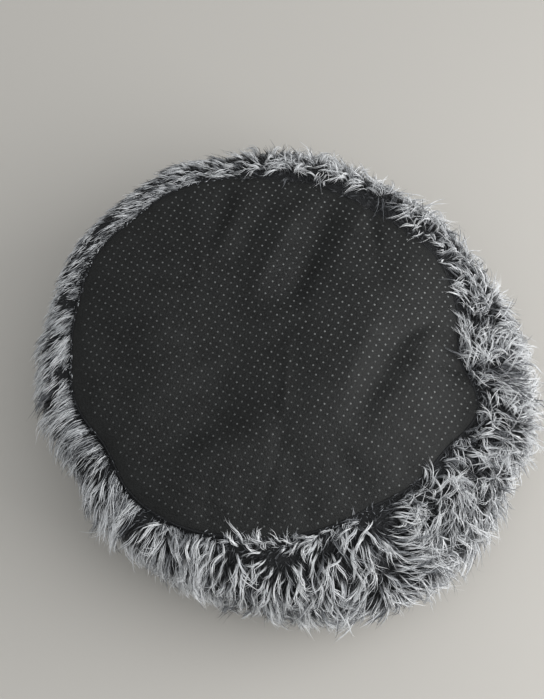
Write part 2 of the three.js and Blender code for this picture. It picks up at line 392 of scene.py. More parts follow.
    def swell(self, folds: Sequence[Fold], x: Array, y: Array) -> Array:
        """The sum of long low swells: each fades by the fourth power along and the square across.

        Args:
            folds: the swells.
            x: places across, before the shift.
            y: places in depth.

        Returns:
            The height that they add.
        """
        total = np.zeros_like(x)
        for fold in folds:
            cos, sin = math.cos(math.radians(fold.lean)), math.sin(math.radians(fold.lean))
            dx, dy = x / self.base_radius - fold.x, y / self.base_radius - fold.y
            along = (dx * cos + dy * sin) / fold.length
            across = (dy * cos - dx * sin) / fold.width
            total = total + fold.height * self.base_radius * np.exp(-(along**4) - across**2)
        return total

    def settle(self, points: Array) -> Array:
        """Moves points of the even, round bed to where they lie.

        A point's radius takes the rim's uneven outline, more of it the farther out it is, or
        the base's, more of it the higher it is. The folds lift what is near the base panel.

        Args:
            points: places as (..., 3).

        Returns:
            Where they lie.
        """
        x, y, z = np.moveaxis(np.asarray(points, float), -1, 0)
        angle, radius = np.arctan2(y, x), np.hypot(x, y)
        near_base = smooth(z, self.waist, self.base_edge)
        rim = mix(1, around(self.rim_outline, angle), smooth(radius, self.nest_radius, self.rim_radius))
        share = mix(rim, around(self.base_outline, angle), near_base)
        flat_x, flat_y = radius * share * np.cos(angle), radius * share * np.sin(angle)
        folded = smooth(z, self.nest_seam[1], self.base_edge)
        return np.stack([
            flat_x + near_base * self.base_shift[0] + self.middle[0],
            flat_y + near_base * self.base_shift[1] + self.middle[1],
            z + folded * self.fold_height(flat_x, flat_y),
        ], -1)  # fmt: skip

    def panel_place(self, x: Array, y: Array) -> tuple[Array, Array]:
        """Where a point seen from above lies on the base panel.

        Args:
            x: where it is across.
            y: where it is in depth.

        Returns:
            Its radius as a share of the panel's, and the height of the panel's face there.
        """
        flat_x = x - self.base_shift[0] - self.middle[0]
        flat_y = y - self.base_shift[1] - self.middle[1]
        radius = np.hypot(flat_x, flat_y) / around(self.base_outline, np.arctan2(flat_y, flat_x))
        height = self.panel_height(radius) + self.fold_height(flat_x, flat_y)
        return radius / self.base_radius, height

    def turned(self, profile: Array, sides: int) -> Array:
        """A profile carried round the bed and settled.

        Args:
            profile: its (radius, height) points.
            sides: how many steps it takes round the bed.

        Returns:
            Places as (steps, sides, 3).
        """
        angle = np.arange(sides) * math.tau / sides
        radius, height = profile[:, :1], profile[:, 1:]
        even = np.stack([radius * np.cos(angle), radius * np.sin(angle), height + 0 * angle], -1)
        return self.settle(even)


# Meshes


def mesh_object(
    name: str, corners: Array, faces: Sequence[Array], maps: Optional[Array] = None
) -> bpy.types.Object:
    """A smooth-shaded object in place.

    Args:
        name: the object's name.
        corners: places of the corners, as (count, 3).
        faces: arrays of corner numbers, one array for each number of sides.
        maps: the place on the UV map of each face corner, in the faces' order.

    Returns:
        The object, in the scene and at its origin.
    """
    mesh = bpy.data.meshes.new(name)
    loops = np.concatenate([part.ravel() for part in faces])
    sizes = np.concatenate([np.full(len(part), part.shape[1]) for part in faces])
    mesh.vertices.add(len(corners))
    mesh.vertices.foreach_set("co", np.ascontiguousarray(corners, np.float32).ravel())
    mesh.loops.add(len(loops))
    mesh.loops.foreach_set("vertex_index", loops.astype(np.int32))
    mesh.polygons.add(len(sizes))
    mesh.polygons.foreach_set("loop_start", (np.cumsum(sizes) - sizes).astype(np.int32))
    mesh.update(calc_edges=True)
    if maps is not None:
        layer = mesh.uv_layers.new(name=MAP_NAME)
        layer.uv.foreach_set("vector", np.ascontiguousarray(maps, np.float32).ravel())
    mesh.polygons.foreach_set("use_smooth", np.ones(len(sizes), bool))
    mesh.validate()
    piece = bpy.data.objects.new(name, mesh)
    bpy.context.scene.collection.objects.link(piece)
    return piece


def band_faces(first: Array, second: Array) -> Array:
    """Four-sided faces between two closed rings of corner numbers."""
    return np.stack([first, np.roll(first, -1), np.roll(second, -1), second], -1)


def turned_body(name: str, rings: Array) -> bpy.types.Object:
    """A closed body from settled rings.

    The rings run outwards along the bottom, up, and inwards along the top. They either start
    and end in a ring of no width, which becomes one corner, or go round a tube.

    Args:
        name: the object's name.
        rings: corners as (rings, sides, 3).

    Returns:
        The object.
    """
    count, sides = rings.shape[:2]
    numbers = np.arange(count * sides).reshape(count, sides)
    spread = np.linalg.norm(rings - rings.mean(1, keepdims=True), axis=-1).max(1)
    if spread[0] > 1e-9:
        bands = [band_faces(numbers[i], numbers[(i + 1) % count]) for i in range(count)]
        return mesh_object(name, rings.reshape(-1, 3), [np.concatenate(bands)])
    ends = np.array([rings[0, 0], rings[-1, 0]])
    corners = np.concatenate([rings[1:-1].reshape(-1, 3), ends])
    numbers, low = numbers[: count - 2], (count - 2) * sides
    bottom, top = numbers[0], numbers[-1]
    fan_low = np.stack([np.full(sides, low), np.roll(bottom, -1), bottom], -1)
    fan_high = np.stack([top, np.roll(top, -1), np.full(sides, low + 1)], -1)
    bands = [band_faces(numbers[i], numbers[i + 1]) for i in range(count - 3)]
    return mesh_object(name, corners, [np.concatenate(bands), np.concatenate([fan_low, fan_high])])


@dataclass
class Cushion:
    """The stuffed base under its slack panel, whose puckers come from a cloth simulation."""

    shape: BedShape
    depth: float = 0.030
    voxel: float = 0.005
    slack: float = 0.03
    pressure: float = 4.0
    frames: int = 20
    fine: float = 0.0045
    broad: float = 0.024
    strength: float = 0.55
    cap: float = 0.0035
    cells: int = 160
    rings: int = 25
    steps: int = 34
    sides: int = 216
    inset: float = 0.002
    face_depth: float = 0.008
    held_from: float = 0.985
    calm_from: float = 0.95
    quality: int = 6
    uneven: float = 0.0006
    uneven_lump: float = 0.02
    uneven_seed: int = 31

    def body(self) -> bpy.types.Object:
        """A plain cushion a little smaller than the base, with an even mesh.

        Returns:
            The cushion.
        """
        shape = self.shape
        low = shape.base_edge - self.depth
        radius = np.linspace(1, 0, self.steps) * shape.base_radius
        face = np.stack([radius, shape.panel_height(radius) - self.inset], -1)
        under = np.array([[0, low], [0.5 * shape.base_radius, low], [shape.base_radius, low]])
        side = np.array([[shape.base_radius, low + self.depth / 2]])
        rings = shape.turned(np.concatenate([under, side, face]), self.sides)
        rings[..., 2] += self.uneven * waves(rings, self.uneven_lump, self.uneven_seed)
        body = turned_body("cushion", rings)
        body.modifiers.new("even", "REMESH").voxel_size = self.voxel
        depsgraph = bpy.context.evaluated_depsgraph_get()
        even = bpy.data.meshes.new_from_object(body.evaluated_get(depsgraph))
        body.modifiers.clear()
        body.data = even
        return body

    @staticmethod
    def places(mesh: bpy.types.Mesh) -> Array:
        """The mesh's corners.

        Args:
            mesh: the mesh.

        Returns:
            Their places as (corners, 3).
        """
        flat = np.empty(len(mesh.vertices) * 3, np.float32)
        mesh.vertices.foreach_get("co", flat)
        return flat.reshape(-1, 3).astype(float)

    def swell(self, body: bpy.types.Object) -> tuple[Array, Array, Array]:
        """Swells the cushion as slack cloth under pressure, with its seam and underside held.

        Args:
            body: the cushion.

        Returns:
            Where the corners of its face end up, in x and y, and how much farther each has risen
            than the others at its distance from the seam.
        """
        start = self.places(body.data)
        share, height = self.shape.panel_place(start[:, 0], start[:, 1])
        held = (share > self.held_from) | (start[:, 2] < height - self.face_depth)
        body.vertex_groups.new(name="held").add(np.nonzero(held)[0].tolist(), 1.0, "REPLACE")
        cloth = body.modifiers.new("cloth", "CLOTH")
        cloth.point_cache.frame_start, cloth.point_cache.frame_end = 1, self.frames
        settings = cloth.settings
        settings.vertex_group_mass = "held"
        settings.use_pressure, settings.uniform_pressure_force = True, self.pressure
        settings.shrink_min = -self.slack
        settings.quality = self.quality
        settings.effector_weights.gravity = 0
        for frame in range(1, self.frames + 1):
            bpy.context.scene.frame_set(frame)
        end = self.places(body.evaluated_get(bpy.context.evaluated_depsgraph_get()).data)
        bpy.context.scene.frame_set(1)
        face = start[:, 2] > height - self.face_depth
        share, height = self.shape.panel_place(end[:, 0], end[:, 1])
        share, rise = share[face], np.where(held, 0, end[:, 2] - height + self.inset)[face]
        edges = np.linspace(0, 1, self.rings)
        number = np.digitize(share, edges)
        rings = [number == each for each in range(1, self.rings + 1)]
        usual = [rise[ring].mean() if ring.any() else 0 for ring in rings]
        rise = rise - np.interp(share, edges + 0.5 / self.rings, usual)
        return end[face, 0], end[face, 1], rise * (1 - smooth(share, self.calm_from, 1))

    def spread(self, grid: Array, width: float) -> Array:
        """Blurs a grid by a bell curve along its rows and columns.

        Args:
            grid: the grid.
            width: the bell's width, in metres.

        Returns:
            The blurred grid.
        """
        step = 2 * self.shape.relief_reach / (self.cells - 1)
        place = np.arange(-int(3 * width / step), int(3 * width / step) + 1) * step
        bell = np.exp(-((place / width) ** 2) / 2)
        for axis in (0, 1):
            grid = np.apply_along_axis(np.convolve, axis, grid, bell, "same")
        return grid

    def settled(self) -> BedShape:
        """The bed's shape with its puckers.

        The rise is averaged over a grid twice, finely and broadly. The puckers are the fine
        average less the broad one, so the panel keeps its crown, and no higher than the cap.

        Returns:
            The shape.
        """
        plain = replace(self.shape, folds=(), creases=())
        smoother = replace(self, shape=plain)
        body = smoother.body()
        x, y, rise = smoother.swell(body)
        bpy.data.objects.remove(body)
        last = self.cells - 1
        places = np.stack([x, y], -1) - plain.base_shift - plain.middle
        column, row = np.rint((places / plain.relief_reach + 1) / 2 * last).clip(0, last).astype(int).T
        total, weight = np.zeros((2, self.cells, self.cells))
        np.add.at(total, (row, column), rise)
        np.add.at(weight, (row, column), 1.0)
        widths = (self.fine, self.broad)
        fine, broad = (self.spread(total, width) / (self.spread(weight, width) + 1e-3) for width in widths)
        relief = np.clip((fine - broad) * self.strength, -self.cap, self.cap)
        log.info("puckers: %.1f to %.1f mm", relief.min() * 1000, relief.max() * 1000)
        return replace(self.shape, relief=relief)


# Finishes


class Wire:
    """A node's socket that can be used in a sum; each operator adds a Math node."""

    def __init__(self, bench: "Bench", socket: bpy.types.NodeSocket) -> None:
        """Keeps the socket and the bench that it belongs to."""
        self.bench, self.socket = bench, socket

    def _math(self, operation: str, other: Any) -> "Wire":
        """A Math node on this and the other."""
        return self.bench.add("ShaderNodeMath", {"operation": operation}, {0: self, 1: other})

    def __add__(self, other: Any) -> "Wire":
        """This plus the other."""
        return self._math("ADD", other)

    def __mul__(self, other: Any) -> "Wire":
        """This times the other."""
        return self._math("MULTIPLY", other)

    __radd__, __rmul__ = __add__, __mul__

    def step(self, low: float, high: float) -> "Wire":
        """A soft step from 0 at low to 1 at high."""
        inputs = {"Value": self, "From Min": low, "From Max": high}
        return self.bench.add("ShaderNodeMapRange", {"interpolation_type": "SMOOTHSTEP"}, inputs)


class Bench:
    """A new material and the few ways in which its nodes are added."""

    def __init__(self, name: str) -> None:
        """Starts the material with its Principled shader.

        Args:
            name: the material's name.
        """
        self.material = bpy.data.materials.new(name)
        self.material.use_nodes = True
        self.nodes = self.material.node_tree.nodes
        self.links = self.material.node_tree.links
        self.shader = self.nodes["Principled BSDF"]

    def put(self, node: bpy.types.Node, socket: int | str, value: Any) -> None:
        """Links a wire to a node's socket, or sets the socket's own value.

        Args:
            node: the node.
            socket: the socket's number or name.
            value: a wire, a number or a colour.
        """
        if isinstance(value, Wire):
            self.links.new(value.socket, node.inputs[socket])
        elif isinstance(value, tuple) and len(node.inputs[socket].default_value) == 4:
            node.inputs[socket].default_value = (*value, 1.0)
        else:
            node.inputs[socket].default_value = value

    def add(self, kind: str, settings: Optional[dict[str, Any]] = None,
            inputs: Optional[dict[int | str, Any]] = None, output: int | str = 0) -> Wire:  # fmt: skip
        """Adds a node.

        Args:
            kind: the node's type.
            settings: its settings, which are set first, with a ramp's stops as "stops".
            inputs: the values or wires of its sockets.
            output: which of its outputs is wanted.

        Returns:
            That output.
        """
        node = self.nodes.new(kind)
        for name, value in (settings or {}).items():
            if name == "stops":
                self._set_stops(node.color_ramp, value)
            else:
                setattr(node, name, value)
        for socket, value in (inputs or {}).items():
            self.put(node, socket, value)
        return Wire(self, node.outputs[output])

    @staticmethod
    def _set_stops(ramp: bpy.types.ColorRamp, stops: Sequence[tuple[float, Color]]) -> None:
        """Gives a ramp its stops, as places and colours."""
        while len(ramp.elements) < len(stops):
            ramp.elements.new(0.5)
        for element, (place, color) in zip(ramp.elements, stops):
            element.position = place
            element.color = (*color, 1.0)

    def place(self) -> Wire:
        """The place on the piece."""
        return self.add("ShaderNodeTexCoord", output="Object")

    def axis(self, vector: Wire, name: str) -> Wire:
        """One axis of a vector."""
        return self.add("ShaderNodeSeparateXYZ", {}, {0: vector}, name)

    def noise(self, scale: float, detail: float, roughness: float) -> Wire:
        """Noise over the piece, from 0 to 1, with a scale in lumps a metre."""
        inputs = {"Vector": self.place(), "Scale": scale, "Detail": detail, "Roughness": roughness}
        return self.add("ShaderNodeTexNoise", {}, inputs, "Fac")

    def blend(self, share: Any, first: Any, second: Any) -> Wire:
        """A colour between two others."""
        return self.add("ShaderNodeMix", {"data_type": "RGBA"}, {0: share, 6: first, 7: second}, 2)

    def bump(self, height: Wire, strength: float, distance: float) -> Wire:
        """A normal that follows a height."""
        return self.add("ShaderNodeBump", {}, {"Height": height, "Strength": strength, "Distance": distance})

    def finish(self, **sockets: Any) -> bpy.types.Material:
        """Sets the shader's sockets, with underscores for spaces, and gives the material."""
        for name, value in sockets.items():
            self.put(self.shader, name.replace("_", " "), value)
        return self.material


@dataclass(frozen=True)
class NonwovenFinish:
    """Black felted base fabric: fine matted fibres with a faint sheen on its slopes."""

    dark: Color = (0.0015, 0.0017, 0.0016)
    light: Color = (0.0140, 0.0150, 0.0147)
    cloud: Noise = (38.0, 3.0, 0.6)
    fibre: Noise = (620.0, 3.0, 0.7)
    bump: Pair = (0.9, 0.0012)

    def material(self) -> bpy.types.Material:
        """Cloudy fibre colour, with the matted fibres as fine bumps.

        Returns:
            The material.
        """
        bench = Bench("dotted_nonwoven")
        cloud = bench.noise(*self.cloud)
        fibre = bench.noise(*self.fibre)
        share = cloud.step(0.3, 0.7) * 0.35 + fibre.step(0.38, 0.66) * 0.65
        return bench.finish(
            Base_Color=bench.blend(share, self.dark, self.light),
            Roughness=0.40 + 0.12 * fibre,
            Specular_IOR_Level=0.25,
            Normal=bench.bump(fibre, *self.bump),
        )


@dataclass(frozen=True)
class DotFinish:
    """Pale grey anti-slip dots, uneven from one to the next; a painted highlight makes them brighter to the
    right and back.
    """

    dark: Color = (0.030, 0.032, 0.032)
    light: Color = (0.190, 0.198, 0.195)
    uneven: Noise = (150.0, 2.0, 0.5)
    # painted highlight: where the dots' colour runs from dull at the left and front to bright at the right
    # and back
    shade_to_highlight: Pair = (-0.22, 0.22)

    def material(self) -> bpy.types.Material:
        """Semi-matt rubbery dots.

        Returns:
            The material.
        """
        bench = Bench("anti_slip_dots")
        right = bench.axis(bench.place(), "X")
        back = bench.axis(bench.place(), "Y")
        # painted highlight: the dots are lighter towards the right and back, where the light falls
        painted_highlight = (right + 0.6 * back).step(*self.shade_to_highlight)
        share = bench.noise(*self.uneven).step(0.3, 0.7)
        return bench.finish(
            Base_Color=bench.blend(share * (0.3 + 0.7 * painted_highlight), self.dark, self.light),
            Roughness=0.42 + 0.1 * share,
            Specular_IOR_Level=0.5,
        )


@dataclass(frozen=True)
class FurFinish:
    """Frosted fur: near-black at the root and silver towards the tip.

    The map's first direction is a hair's tone, from dark underfur to bright silver, and its
    second runs from root to tip.
    """

    root: Color = (0.0160, 0.0168, 0.0182)
    tones: tuple[tuple[float, Color], ...] = (
        (0.0, (0.022, 0.023, 0.025)),
        (0.2, (0.065, 0.068, 0.074)),
        (0.4, (0.200, 0.210, 0.225)),
        (0.7, (0.640, 0.655, 0.675)),
        (1.0, (0.900, 0.910, 0.920)),
    )
    root_end: Pair = (0.03, 0.4)

    def material(self) -> bpy.types.Material:
        """The tone's own colour, which comes in along the hair.

        Returns:
            The material.
        """
        bench = Bench("fur")
        place = bench.add("ShaderNodeUVMap", {"uv_map": MAP_NAME})
        tone = bench.axis(place, "X")
        along = bench.axis(place, "Y")
        color = bench.add("ShaderNodeValToRGB", {"stops": self.tones}, {0: tone})
        return bench.finish(
            Base_Color=bench.blend(along.step(*self.root_end), self.root, color),
            Roughness=0.45,
            Specular_IOR_Level=0.5,
        )


@dataclass(frozen=True)
class SpunbondFinish:
    """Pale spunbond with its bonding points pressed in."""

    thread: Color = (0.55, 0.55, 0.52)
    point: Color = (0.42, 0.42, 0.40)
    point_scale: float = 520.0
    threads: Noise = (1300.0, 3.0, 0.7)
    bump: Pair = (0.6, 0.0004)

    def material(self) -> bpy.types.Material:
        """A fine crossing pattern of points over matted threads.

        Returns:
            The material.
        """
        bench = Bench("spunbond")
        inputs = {"Vector": bench.place(), "Scale": self.point_scale}
        point = bench.add("ShaderNodeTexVoronoi", {}, inputs, "Distance").step(0.15, 0.35)
        thread = bench.noise(*self.threads)
        return bench.finish(
            Base_Color=bench.blend(point, self.point, self.thread),
            Roughness=0.8,
            Normal=bench.bump(point + 0.5 * thread, *self.bump),
        )


@dataclass(frozen=True)
class TangleFinish:
    """Tangled fibres, whose one noise gives both their colour and their bumps."""

    name: str
    dark: Color
    light: Color
    noise: Noise
    steps: Pair
    roughness: float
    specular: float
    bump: Pair

    def material(self) -> bpy.types.Material:
        """The fibres in two colours.

        Returns:
            The material.
        """
        bench = Bench(self.name)
        tangle = bench.noise(*self.noise)
        return bench.finish(
            Base_Color=bench.blend(tangle.step(*self.steps), self.dark, self.light),
            Roughness=self.roughness,
            Specular_IOR_Level=self.specular,
            Normal=bench.bump(tangle, *self.bump),
        )


# The fur's backing: a dark knit under short dense underfur.
KNIT = TangleFinish(
    "knit_backing", (0.0110, 0.0116, 0.0126), (0.0380, 0.0392, 0.0415),
    noise=(900.0, 3.0, 0.7), steps=(0.35, 0.75), roughness=0.9, specular=0.2, bump=(0.9, 0.0015),
)  # fmt: skip
# White hollow-fibre wadding.
FIBRE = TangleFinish(
    "fibre_filling", (0.66, 0.65, 0.61), (0.80, 0.79, 0.75),
    noise=(420.0, 5.0, 0.75), steps=(0.3, 0.7), roughness=0.95, specular=0.5, bump=(0.8, 0.002),
)  # fmt: skip


# Fur


class Stretch(Enum):
    """The eight stretches of the rim, with the number of eighths of a turn from +X."""

    RIGHT = 0
    BACK_RIGHT = 1
    BACK = 2
    BACK_LEFT = 3
    LEFT = 4
    FRONT_LEFT = 5
    FRONT = 6
    FRONT_RIGHT = 7


@dataclass(frozen=True)
class Skin:
    """A backing sampled on a grid, whose rows run down its profile and columns anticlockwise."""

    points: Array
    normals: Array
    down: Array
    side: Array
    lengths: Array

    @classmethod
    def over(cls, shape: BedShape, profile: Array, sides: int, flip: bool = False) -> "Skin":
        """Samples a profile carried round the bed.

        Args:
            shape: the bed.
            profile: the backing's profile, from its top or middle.
            sides: how many columns there are.
            flip: whether the fur grows on the other side.

        Returns:
            The sampled skin, whose directions come from differences between neighbours.
        """
        points = shape.turned(profile, sides)
        down = unit(np.gradient(points, axis=0))
        side = unit(np.roll(points, -1, 1) - np.roll(points, 1, 1))
        normals = unit(np.cross(side, down) if flip else np.cross(down, side))
        run = np.linalg.norm(np.diff(profile, axis=0), axis=-1)
        return cls(points, normals, down, side, np.concatenate([[0], np.cumsum(run)]))

    def at(self, distance: Array, angle: Array) -> tuple[Array, Array, Array, Array]:
        """Reads the skin.

        Args:
            distance: how far down the profile, in metres.
            angle: where round the bed, in radians.

        Returns:
            Places, normals, and the directions down the profile and anticlockwise.
        """
        rows, columns = self.points.shape[:2]
        row = np.interp(distance, self.lengths, np.arange(rows))
        column = (angle / math.tau) % 1 * columns
        r0 = np.clip(np.floor(row).astype(int), 0, rows - 2)
        c0 = np.floor(column).astype(int) % columns
        c1 = (c0 + 1) % columns
        r, c = (row - r0)[:, None], (column % columns - c0)[:, None]

        def read(grid: Array) -> Array:
            """The value between the four nearest samples."""
            return mix(mix(grid[r0, c0], grid[r0, c1], c), mix(grid[r0 + 1, c0], grid[r0 + 1, c1], c), r)

        return read(self.points), unit(read(self.normals)), unit(read(self.down)), unit(read(self.side))


@dataclass(frozen=True)
class Nap:
    """Which way the pile lies, in even steps round the bed, anticlockwise from +X."""

    # How much it lies away from the base seam, less than nothing where it lies over the seam.
    away: Around = (0.35, -0.9, -1.0, -0.6, 0.25, 0.4, 0.75, 0.8, 0.8, 0.85, 0.35, 0.3)
    # How much it lies anticlockwise.
    turn: Around = (0.15, 0.1, -0.2, 0.35, 1.0, 0.9, 0.45, 0.3, 0.25, -0.05, 0.1, -0.15)
    # How far it stands up, and how long it is.
    stand: Around = (0.5, 0.4, 0.38, 0.36, 0.28, 0.25, 0.3, 0.4, 0.48, 0.52, 0.75, 0.7)
    long: Around = (0.92, 0.68, 0.82, 0.75, 0.5, 0.45, 0.7, 0.92, 0.97, 0.94, 0.96, 0.8)
    # How wide a band beside the seam has few long hairs, in metres.
    bare: Around = (0.004, 0.012, 0.017, 0.012, 0.001, 0, 0, 0, 0, 0.001, 0.0045, 0.006)
    # How much neighbouring locks differ.
    mixed: Around = (0.6, 0.42, 0.45, 0.4, 0.22, 0.2, 0.2, 0.24, 0.4, 0.72, 0.85, 0.8)
    # How fully the long hair covers the short.
    cover: Around = (1.2, 1.0, 0.7, 0.8, 0.7, 0.6, 0.6, 0.6, 0.5, 0.35, 0.4, 0.7)
    # How far a lock splits into thin strands.
    split: Around = (0.9, 1.0, 1.0, 0.8, 0.3, 0.2, 0.1, 0, 0, 0.1, 0.6, 0.9)
    # The share of locks that do lie over the seam where the first table says so.
    lap: Around = (0.8, 0.8, 0.5, 0.4, 0.3, 0, 0, 0, 0, 0, 0, 0.3)

    @classmethod
    def even(cls, away: float, mixed: float) -> "Nap":
        """A nap that is the same all round."""
        return cls((away,), (0,), (1,), (1,), (0,), (mixed,), (1,), (0,), (0,))


@dataclass(frozen=True)
class Coat:
    """How one kind of hair grows, with sizes in metres and shares from 0 to 1."""

    spacing: float  # from lock to lock
    hairs: int  # to a lock
    length: float
    width: float
    tone: Pair  # of the dullest and the brightest locks
    stations: int = 7  # along a hair
    spread: float = 0.0062  # from a lock's middle to its outer hairs
    gather: float = 0.75  # how far a lock's hairs draw together at their tips
    keep: float = 0.14  # how much the tips still stand up
    lay: float = 0.9  # how strongly the nap lays it
    fall: float = 0.35  # how strongly its weight lays it
    curl: float = 0.5  # how far a lock bends round, in radians
    wave: float = 0.5  # how far it sways, in radians
    hooked: float = 0.06  # share of the locks with hooked tips
    loose: float = 0.12  # share of the hairs that leave their lock
    dim: float = 0.2  # share of the locks, and of the hairs, that are duller
    sparse: float = 0.85  # share that is missing from the bare band, 0 for the under coat
    dense: float = 1.0  # how many times more hairs a calm lock has

    @property
    def under(self) -> bool:
        """Whether this is the short under coat, which grows everywhere."""
        return self.sparse == 0


class Rows:
    """The base of classes whose fields are arrays with a row for each of several things."""

    def part(self, chosen: Array) -> Any:
        """The same with the chosen rows alone."""
        return type(self)(*(getattr(self, item.name)[chosen] for item in fields(self)))


@dataclass
class Locks(Rows):
    """Where locks are rooted: the bare band's width is the one at their side of the bed."""

    distance: Array
    angle: Array
    band: Array
    root: Array
    normal: Array
    down: Array
    side: Array


@dataclass
class Lie:
    """How locks lie: along the skin, how long, how wildly, how far split, and over the seam or not.

    The lumps are three smooth noises that neighbours share.
    """

    lay: Array
    length: Array
    lumps: Array
    wild: Array
    split: Array
    over: Array


@dataclass
class Hairs(Rows):
    """Hairs as paths from root to tip, with their radii, tones and bending axes.

    A start above 0 skips that share of the dark root, and turns are angles round the bed.
    """

    paths: Array
    radii: Array
    tones: Array
    starts: Array
    axes: Array
    turns: Array

    def tubes(self) -> tuple[Array, Array, Array, Array]:
        """Closed three-sided tubes along the paths, each ending in a point.

        At each station the three corners stand round the path at thirds of a turn, across its
        direction. The map gives a corner its hair's tone, and how far along it is.

        Returns:
            The corners, the four-sided faces, the three-sided faces, and the map of both.
        """
        count, stations = self.paths.shape[:2]
        rings = stations - 1
        along = unit(np.gradient(self.paths, axis=1))
        across = unit(np.cross(along, self.axes[:, None, :]))
        other = np.cross(along, across)
        turn = np.arange(3)[:, None] * math.tau / 3
        ring = across[:, :rings, None] * np.cos(turn) + other[:, :rings, None] * np.sin(turn)
        ring = self.paths[:, :rings, None] + ring * self.radii[:, :rings, None, None]
        corners = np.concatenate([ring.reshape(count, -1, 3), self.paths[:, -1:]], 1)
        j, i = (grid.ravel() for grid in np.meshgrid(np.arange(3), np.arange(rings - 1)))
        k = (j + 1) % 3
        quads = np.stack([i * 3 + j, i * 3 + k, i * 3 + 3 + k, i * 3 + 3 + j], -1)
        tip = np.array([[0, 1, 3], [1, 2, 3], [2, 0, 3]]) + (rings - 1) * 3
        ends = np.concatenate([tip, [[0, 2, 1]]])
        first = (np.arange(count) * corners.shape[1])[:, None, None]
        quad_map, end_map = self.strips(i, j, stations)
        shift = np.stack([MAP_EDGE + self.tones * MAP_SPAN, self.starts], -1)[:, None, None, :]
        scale = np.stack([np.ones(count), 1 - self.starts], -1)[:, None, None, :]
        maps = np.concatenate([(shift + scale * part).reshape(-1, 2) for part in (quad_map, end_map)])
        return corners.reshape(-1, 3), (quads + first).reshape(-1, 4), (ends + first).reshape(-1, 3), maps

    @staticmethod
    def strips(ring: Array, side: Array, stations: int) -> tuple[Array, Array]:
        """One hair's map before its tone: a narrow strip to a side, from root to tip.

        Args:
            ring: which ring each four-sided face starts from.
            side: which of the three sides it is on.
            stations: how many stations the hair has.

        Returns:
            The map of its four-sided faces, and that of its tip and its root.
        """
        width = MAP_STRIP
        level = np.linspace(*MAP_LEVELS, stations)
        quad_map = np.stack([
            np.stack([side, side + 1, side + 1, side], -1) * width,
            np.stack([level[ring], level[ring], level[ring + 1], level[ring + 1]], -1),
        ], -1)  # fmt: skip
        tip = np.array([[0, level[-2]], [width, level[-2]], [width / 2, level[-1]]])
        root = np.array([[0, level[0] / 5], [width, level[0] / 5], [width / 2, level[0]]])
        return quad_map, np.stack([tip, tip + (width, 0), tip + (2 * width, 0), root])


@dataclass(frozen=True)
class Stray:
    """How locks stray from the nap: first by the lumps that neighbours share, then by chance."""

    away: Pair = (0.6, 0.25)
    turn: Pair = (1.1, 0.35)
    length: Pair = (0.16, 0.1)
    split_away: float = 0.6  # how much more a split lock strays by chance, away from the seam
    lengths: Pair = (0.6, 1.4)  # shortest and longest lock, as shares of the coat's length


@dataclass(frozen=True)
class Bend:
    """How locks bend on their way, which runs from 0 at the root to 1 at the tip."""

    upright: float = 1.7  # power of the rest of the way, with which a lock stands up
    laid: Pair = (0.3, 0.8)  # how much the nap lays its root, and how much more its tip
    fallen: float = 1.2  # power of the way, with which its weight lays it
    calm: float = 0.25  # how much a calm lock bends, as a share of a wild one
    varies: Pair = (0.9, 0.5)  # by the lumps that neighbours share, and by chance
    hooked: Pair = (1.4, 2.8)  # least and most of a hooked tip, in radians
    tilt: float = 0.4  # of its axis off the skin's normal, by chance
    beats: Pair = (0.7, 1.6)  # fewest and most sways on its way
    sways: Pair = (0.05, 0.4)  # where the sway starts, and where it is full


@dataclass(frozen=True)
class Fill:
    """How hairs fill locks. Five are what a split lock has, as shares of another's."""

    split_hairs: float = 1.3
    split_reach: float = 0.5
    split_loose: float = 0.4
    split_wander: float = 0.4
    split_width: float = 0.78
    calm_gather: float = 0.1  # how far a calm lock's hairs draw together, as a share of a wild one's
    gathers: Pair = (0.7, 1.1)  # least and most of that, as shares of the coat's
    lap_gather: float = 0.95  # how far those of a lapping lock do
    loose_gather: float = -0.5  # how far a loose hair of a wild lock does: it leaves
    draws: float = 1.1  # power of the way, with which they draw together
    grows: Pair = (0.78, 1.12)  # shortest and longest hair, as shares of its lock's length
    loose_wander: Pair = (1.5, 3.0)  # how far a loose hair wanders in a calm and a wild lock
    ripples: float = 1.3  # along a hair
    widths: Pair = (0.75, 1.2)  # thinnest and thickest hair, as shares of the coat's width


@dataclass(frozen=True)
class Tint:
    """How tones vary from lock to lock and from hair to hair."""

    bright: Pair = (0.6, 0.25)  # a lock's usual place between the coat's two tones, and its chance
    lumps: float = 0.12  # how much the lumps that neighbours share add to it
    dim_lock: float = 0.45  # what is left of a duller lock's tone
    dim_hair: float = 0.5  # and of a duller hair's
    chance: Pair = (0.16, 0.07)  # from hair to hair, in a calm and a wild lock
    calm: float = 0.88  # what is left of the tones in a calm lock
    paler: float = 0.3  # what the under coat gains beside the seam
    bared: float = 0.7  # how much of the dark root is skipped there


